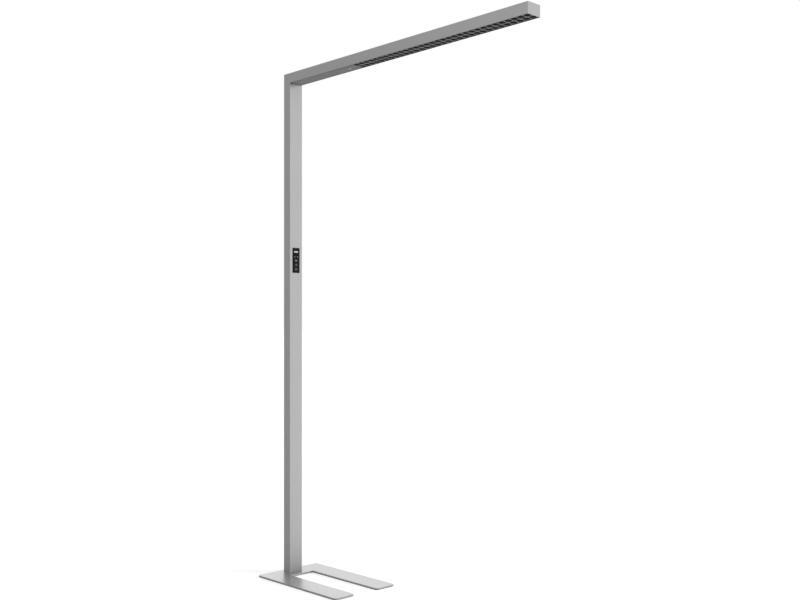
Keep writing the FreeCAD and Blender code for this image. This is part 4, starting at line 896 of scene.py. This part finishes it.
def add_uplight():
    low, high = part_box("uplight_cover")
    top, ledge = high.z, UPLIGHT_LEDGE
    face, foot = UPLIGHT_FACE_HALF, UPLIGHT_FOOT_HALF
    ribbed = face - UPLIGHT_PLAIN_EDGE
    pitch = ribbed * 2 / UPLIGHT_RIBS
    profile = [(-foot, low.z), (-foot, ledge), (-face, ledge), (-face, top - UPLIGHT_BEVEL),
               (-face + UPLIGHT_BEVEL, top)]
    for rib in range(UPLIGHT_RIBS):
        start = -ribbed + rib * pitch
        profile += [(start + pitch * share, top - depth) for share, depth in GROOVE]
    profile += [(ribbed, top), (face - UPLIGHT_BEVEL, top), (face, top - UPLIGHT_BEVEL),
                (face, ledge), (foot, ledge), (foot, low.z)]
    mesh = bmesh.new()
    capped_loft(mesh, [[Vector((x, y, z)) for y, z in profile] for x in (low.x, high.x)])
    strip = piece("uplight_strip", mesh, ["opal"], "lamp", UPLIGHT_SMOOTH_ANGLE)
    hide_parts("uplight_cover")


add_uplight()


# ---- stage, light and camera ------------------------------------------------------------

WHITE = (1.0, 1.0, 1.0, 1.0)
FLOOR_RADIUS = 400.0
FLOOR_SIDES = 96
FLOOR_SHOWN = (0.82, 0.82, 0.82, 1.0)
FLOOR_GLOW = 0.30
# Painted shade in the light the floor gives back: darker grey beneath the lamp.
FLOOR_SHADE_BENEATH = grey(0.15)
FLOOR_AROUND = grey(0.27)
WORLD_LIGHT = 0.40
WORLD_SHOWN = 1.0
FILM_WIDTH = 36.0
FAR_CLIP = 1000.0


def show_by_ray(graph, plain, white):
    """White for what the camera sees, also in glossy and clear surfaces, else plain."""
    path = graph.node("ShaderNodeLightPath").outputs
    both = graph.math("MAXIMUM", path["Is Camera Ray"], path["Is Glossy Ray"])
    seen = graph.math("MAXIMUM", both, path["Is Transmission Ray"])
    unscattered = graph.math("LESS_THAN", path["Diffuse Depth"], 0.5)
    factor = graph.math("MULTIPLY", seen, unscattered)
    graph.show(graph.node("ShaderNodeMixShader", {0: factor, 1: plain, 2: white}))


def add_floor():
    """A floor that shows white with the lamp's shadow, and lights the lamp as grey does."""
    made, graph = new_material("studio_floor")
    shown = graph.node("ShaderNodeBsdfDiffuse", {"Color": FLOOR_SHOWN}).outputs[0]
    glow = graph.node(
        "ShaderNodeEmission", {"Color": WHITE, "Strength": FLOOR_GLOW}
    ).outputs[0]
    white = graph.node("ShaderNodeAddShader", {0: shown, 1: glow}).outputs[0]
    # Painted shade: the floor lights the lamp with a darker grey within half a metre of it.
    away = graph.node(
        "ShaderNodeVectorMath", {0: graph.place()}, operation="LENGTH"
    ).outputs["Value"]
    reach = graph.spread(away, 0.0, 1.0, from_low=0.1, from_high=0.5)
    tone = graph.shades(reach, FLOOR_SHADE_BENEATH, FLOOR_AROUND)
    plain = graph.node("ShaderNodeBsdfDiffuse", {"Color": tone}).outputs[0]
    show_by_ray(graph, plain, white)
    mesh = bmesh.new()
    bmesh.ops.create_circle(mesh, cap_ends=True, radius=FLOOR_RADIUS, segments=FLOOR_SIDES)
    mesh_object("studio_floor", mesh, [made])


def add_world():
    """A white background that lights the lamp at a lower level."""
    world = bpy.data.worlds.new("studio")
    bpy.context.scene.world = world
    world.use_nodes = True
    graph = Graph(world.node_tree, "ShaderNodeOutputWorld")
    plain, white = (
        graph.node("ShaderNodeBackground", {"Color": WHITE, "Strength": strength}).outputs[0]
        for strength in (WORLD_LIGHT, WORLD_SHOWN)
    )
    show_by_ray(graph, plain, white)


def aim(made, towards):
    made.rotation_mode = "QUATERNION"
    made.rotation_quaternion = Vector(towards).to_track_quat("-Z", "Y")


def add_sun(name, towards, strength, angle):
    """A sun that no glossy surface mirrors. angle is its width in degrees."""
    lamp = bpy.data.lights.new(name, "SUN")
    lamp.energy = strength
    lamp.angle = math.radians(angle)
    made = new_object(name, lamp)
    made.visible_glossy = False
    aim(made, towards)


def add_softbox(name, place, target, size, power):
    lamp = bpy.data.lights.new(name, "AREA")
    lamp.energy = power
    lamp.size = size
    made = new_object(name, lamp)
    made.location = place
    aim(made, Vector(target) - Vector(place))


def add_camera(place, towards, lens, shift):
    data = bpy.data.cameras.new("camera")
    data.sensor_width = FILM_WIDTH
    data.lens = lens
    data.shift_y = shift
    data.clip_end = FAR_CLIP
    camera = new_object("camera", data)
    camera.location = place
    aim(camera, towards)
    bpy.context.scene.camera = camera


add_floor()
add_world()
add_sun("key_light", towards=(-1.0, -0.9, -0.2), strength=2.76, angle=18)
add_sun("top_light", towards=(0.08, 0.1, -1.0), strength=1.36, angle=60)
add_softbox(
    "fill_light", place=(1.3, -1.0, 1.9), target=(1.15, 0.0, 1.98), size=0.6, power=2.25
)
add_camera(
    place=(3.18267, -2.44763, 0.98266), towards=(-0.72271, 0.69115, 0.00235),
    lens=44.626, shift=0.0319,
)
bpy.context.scene.view_settings.view_transform = "Standard"
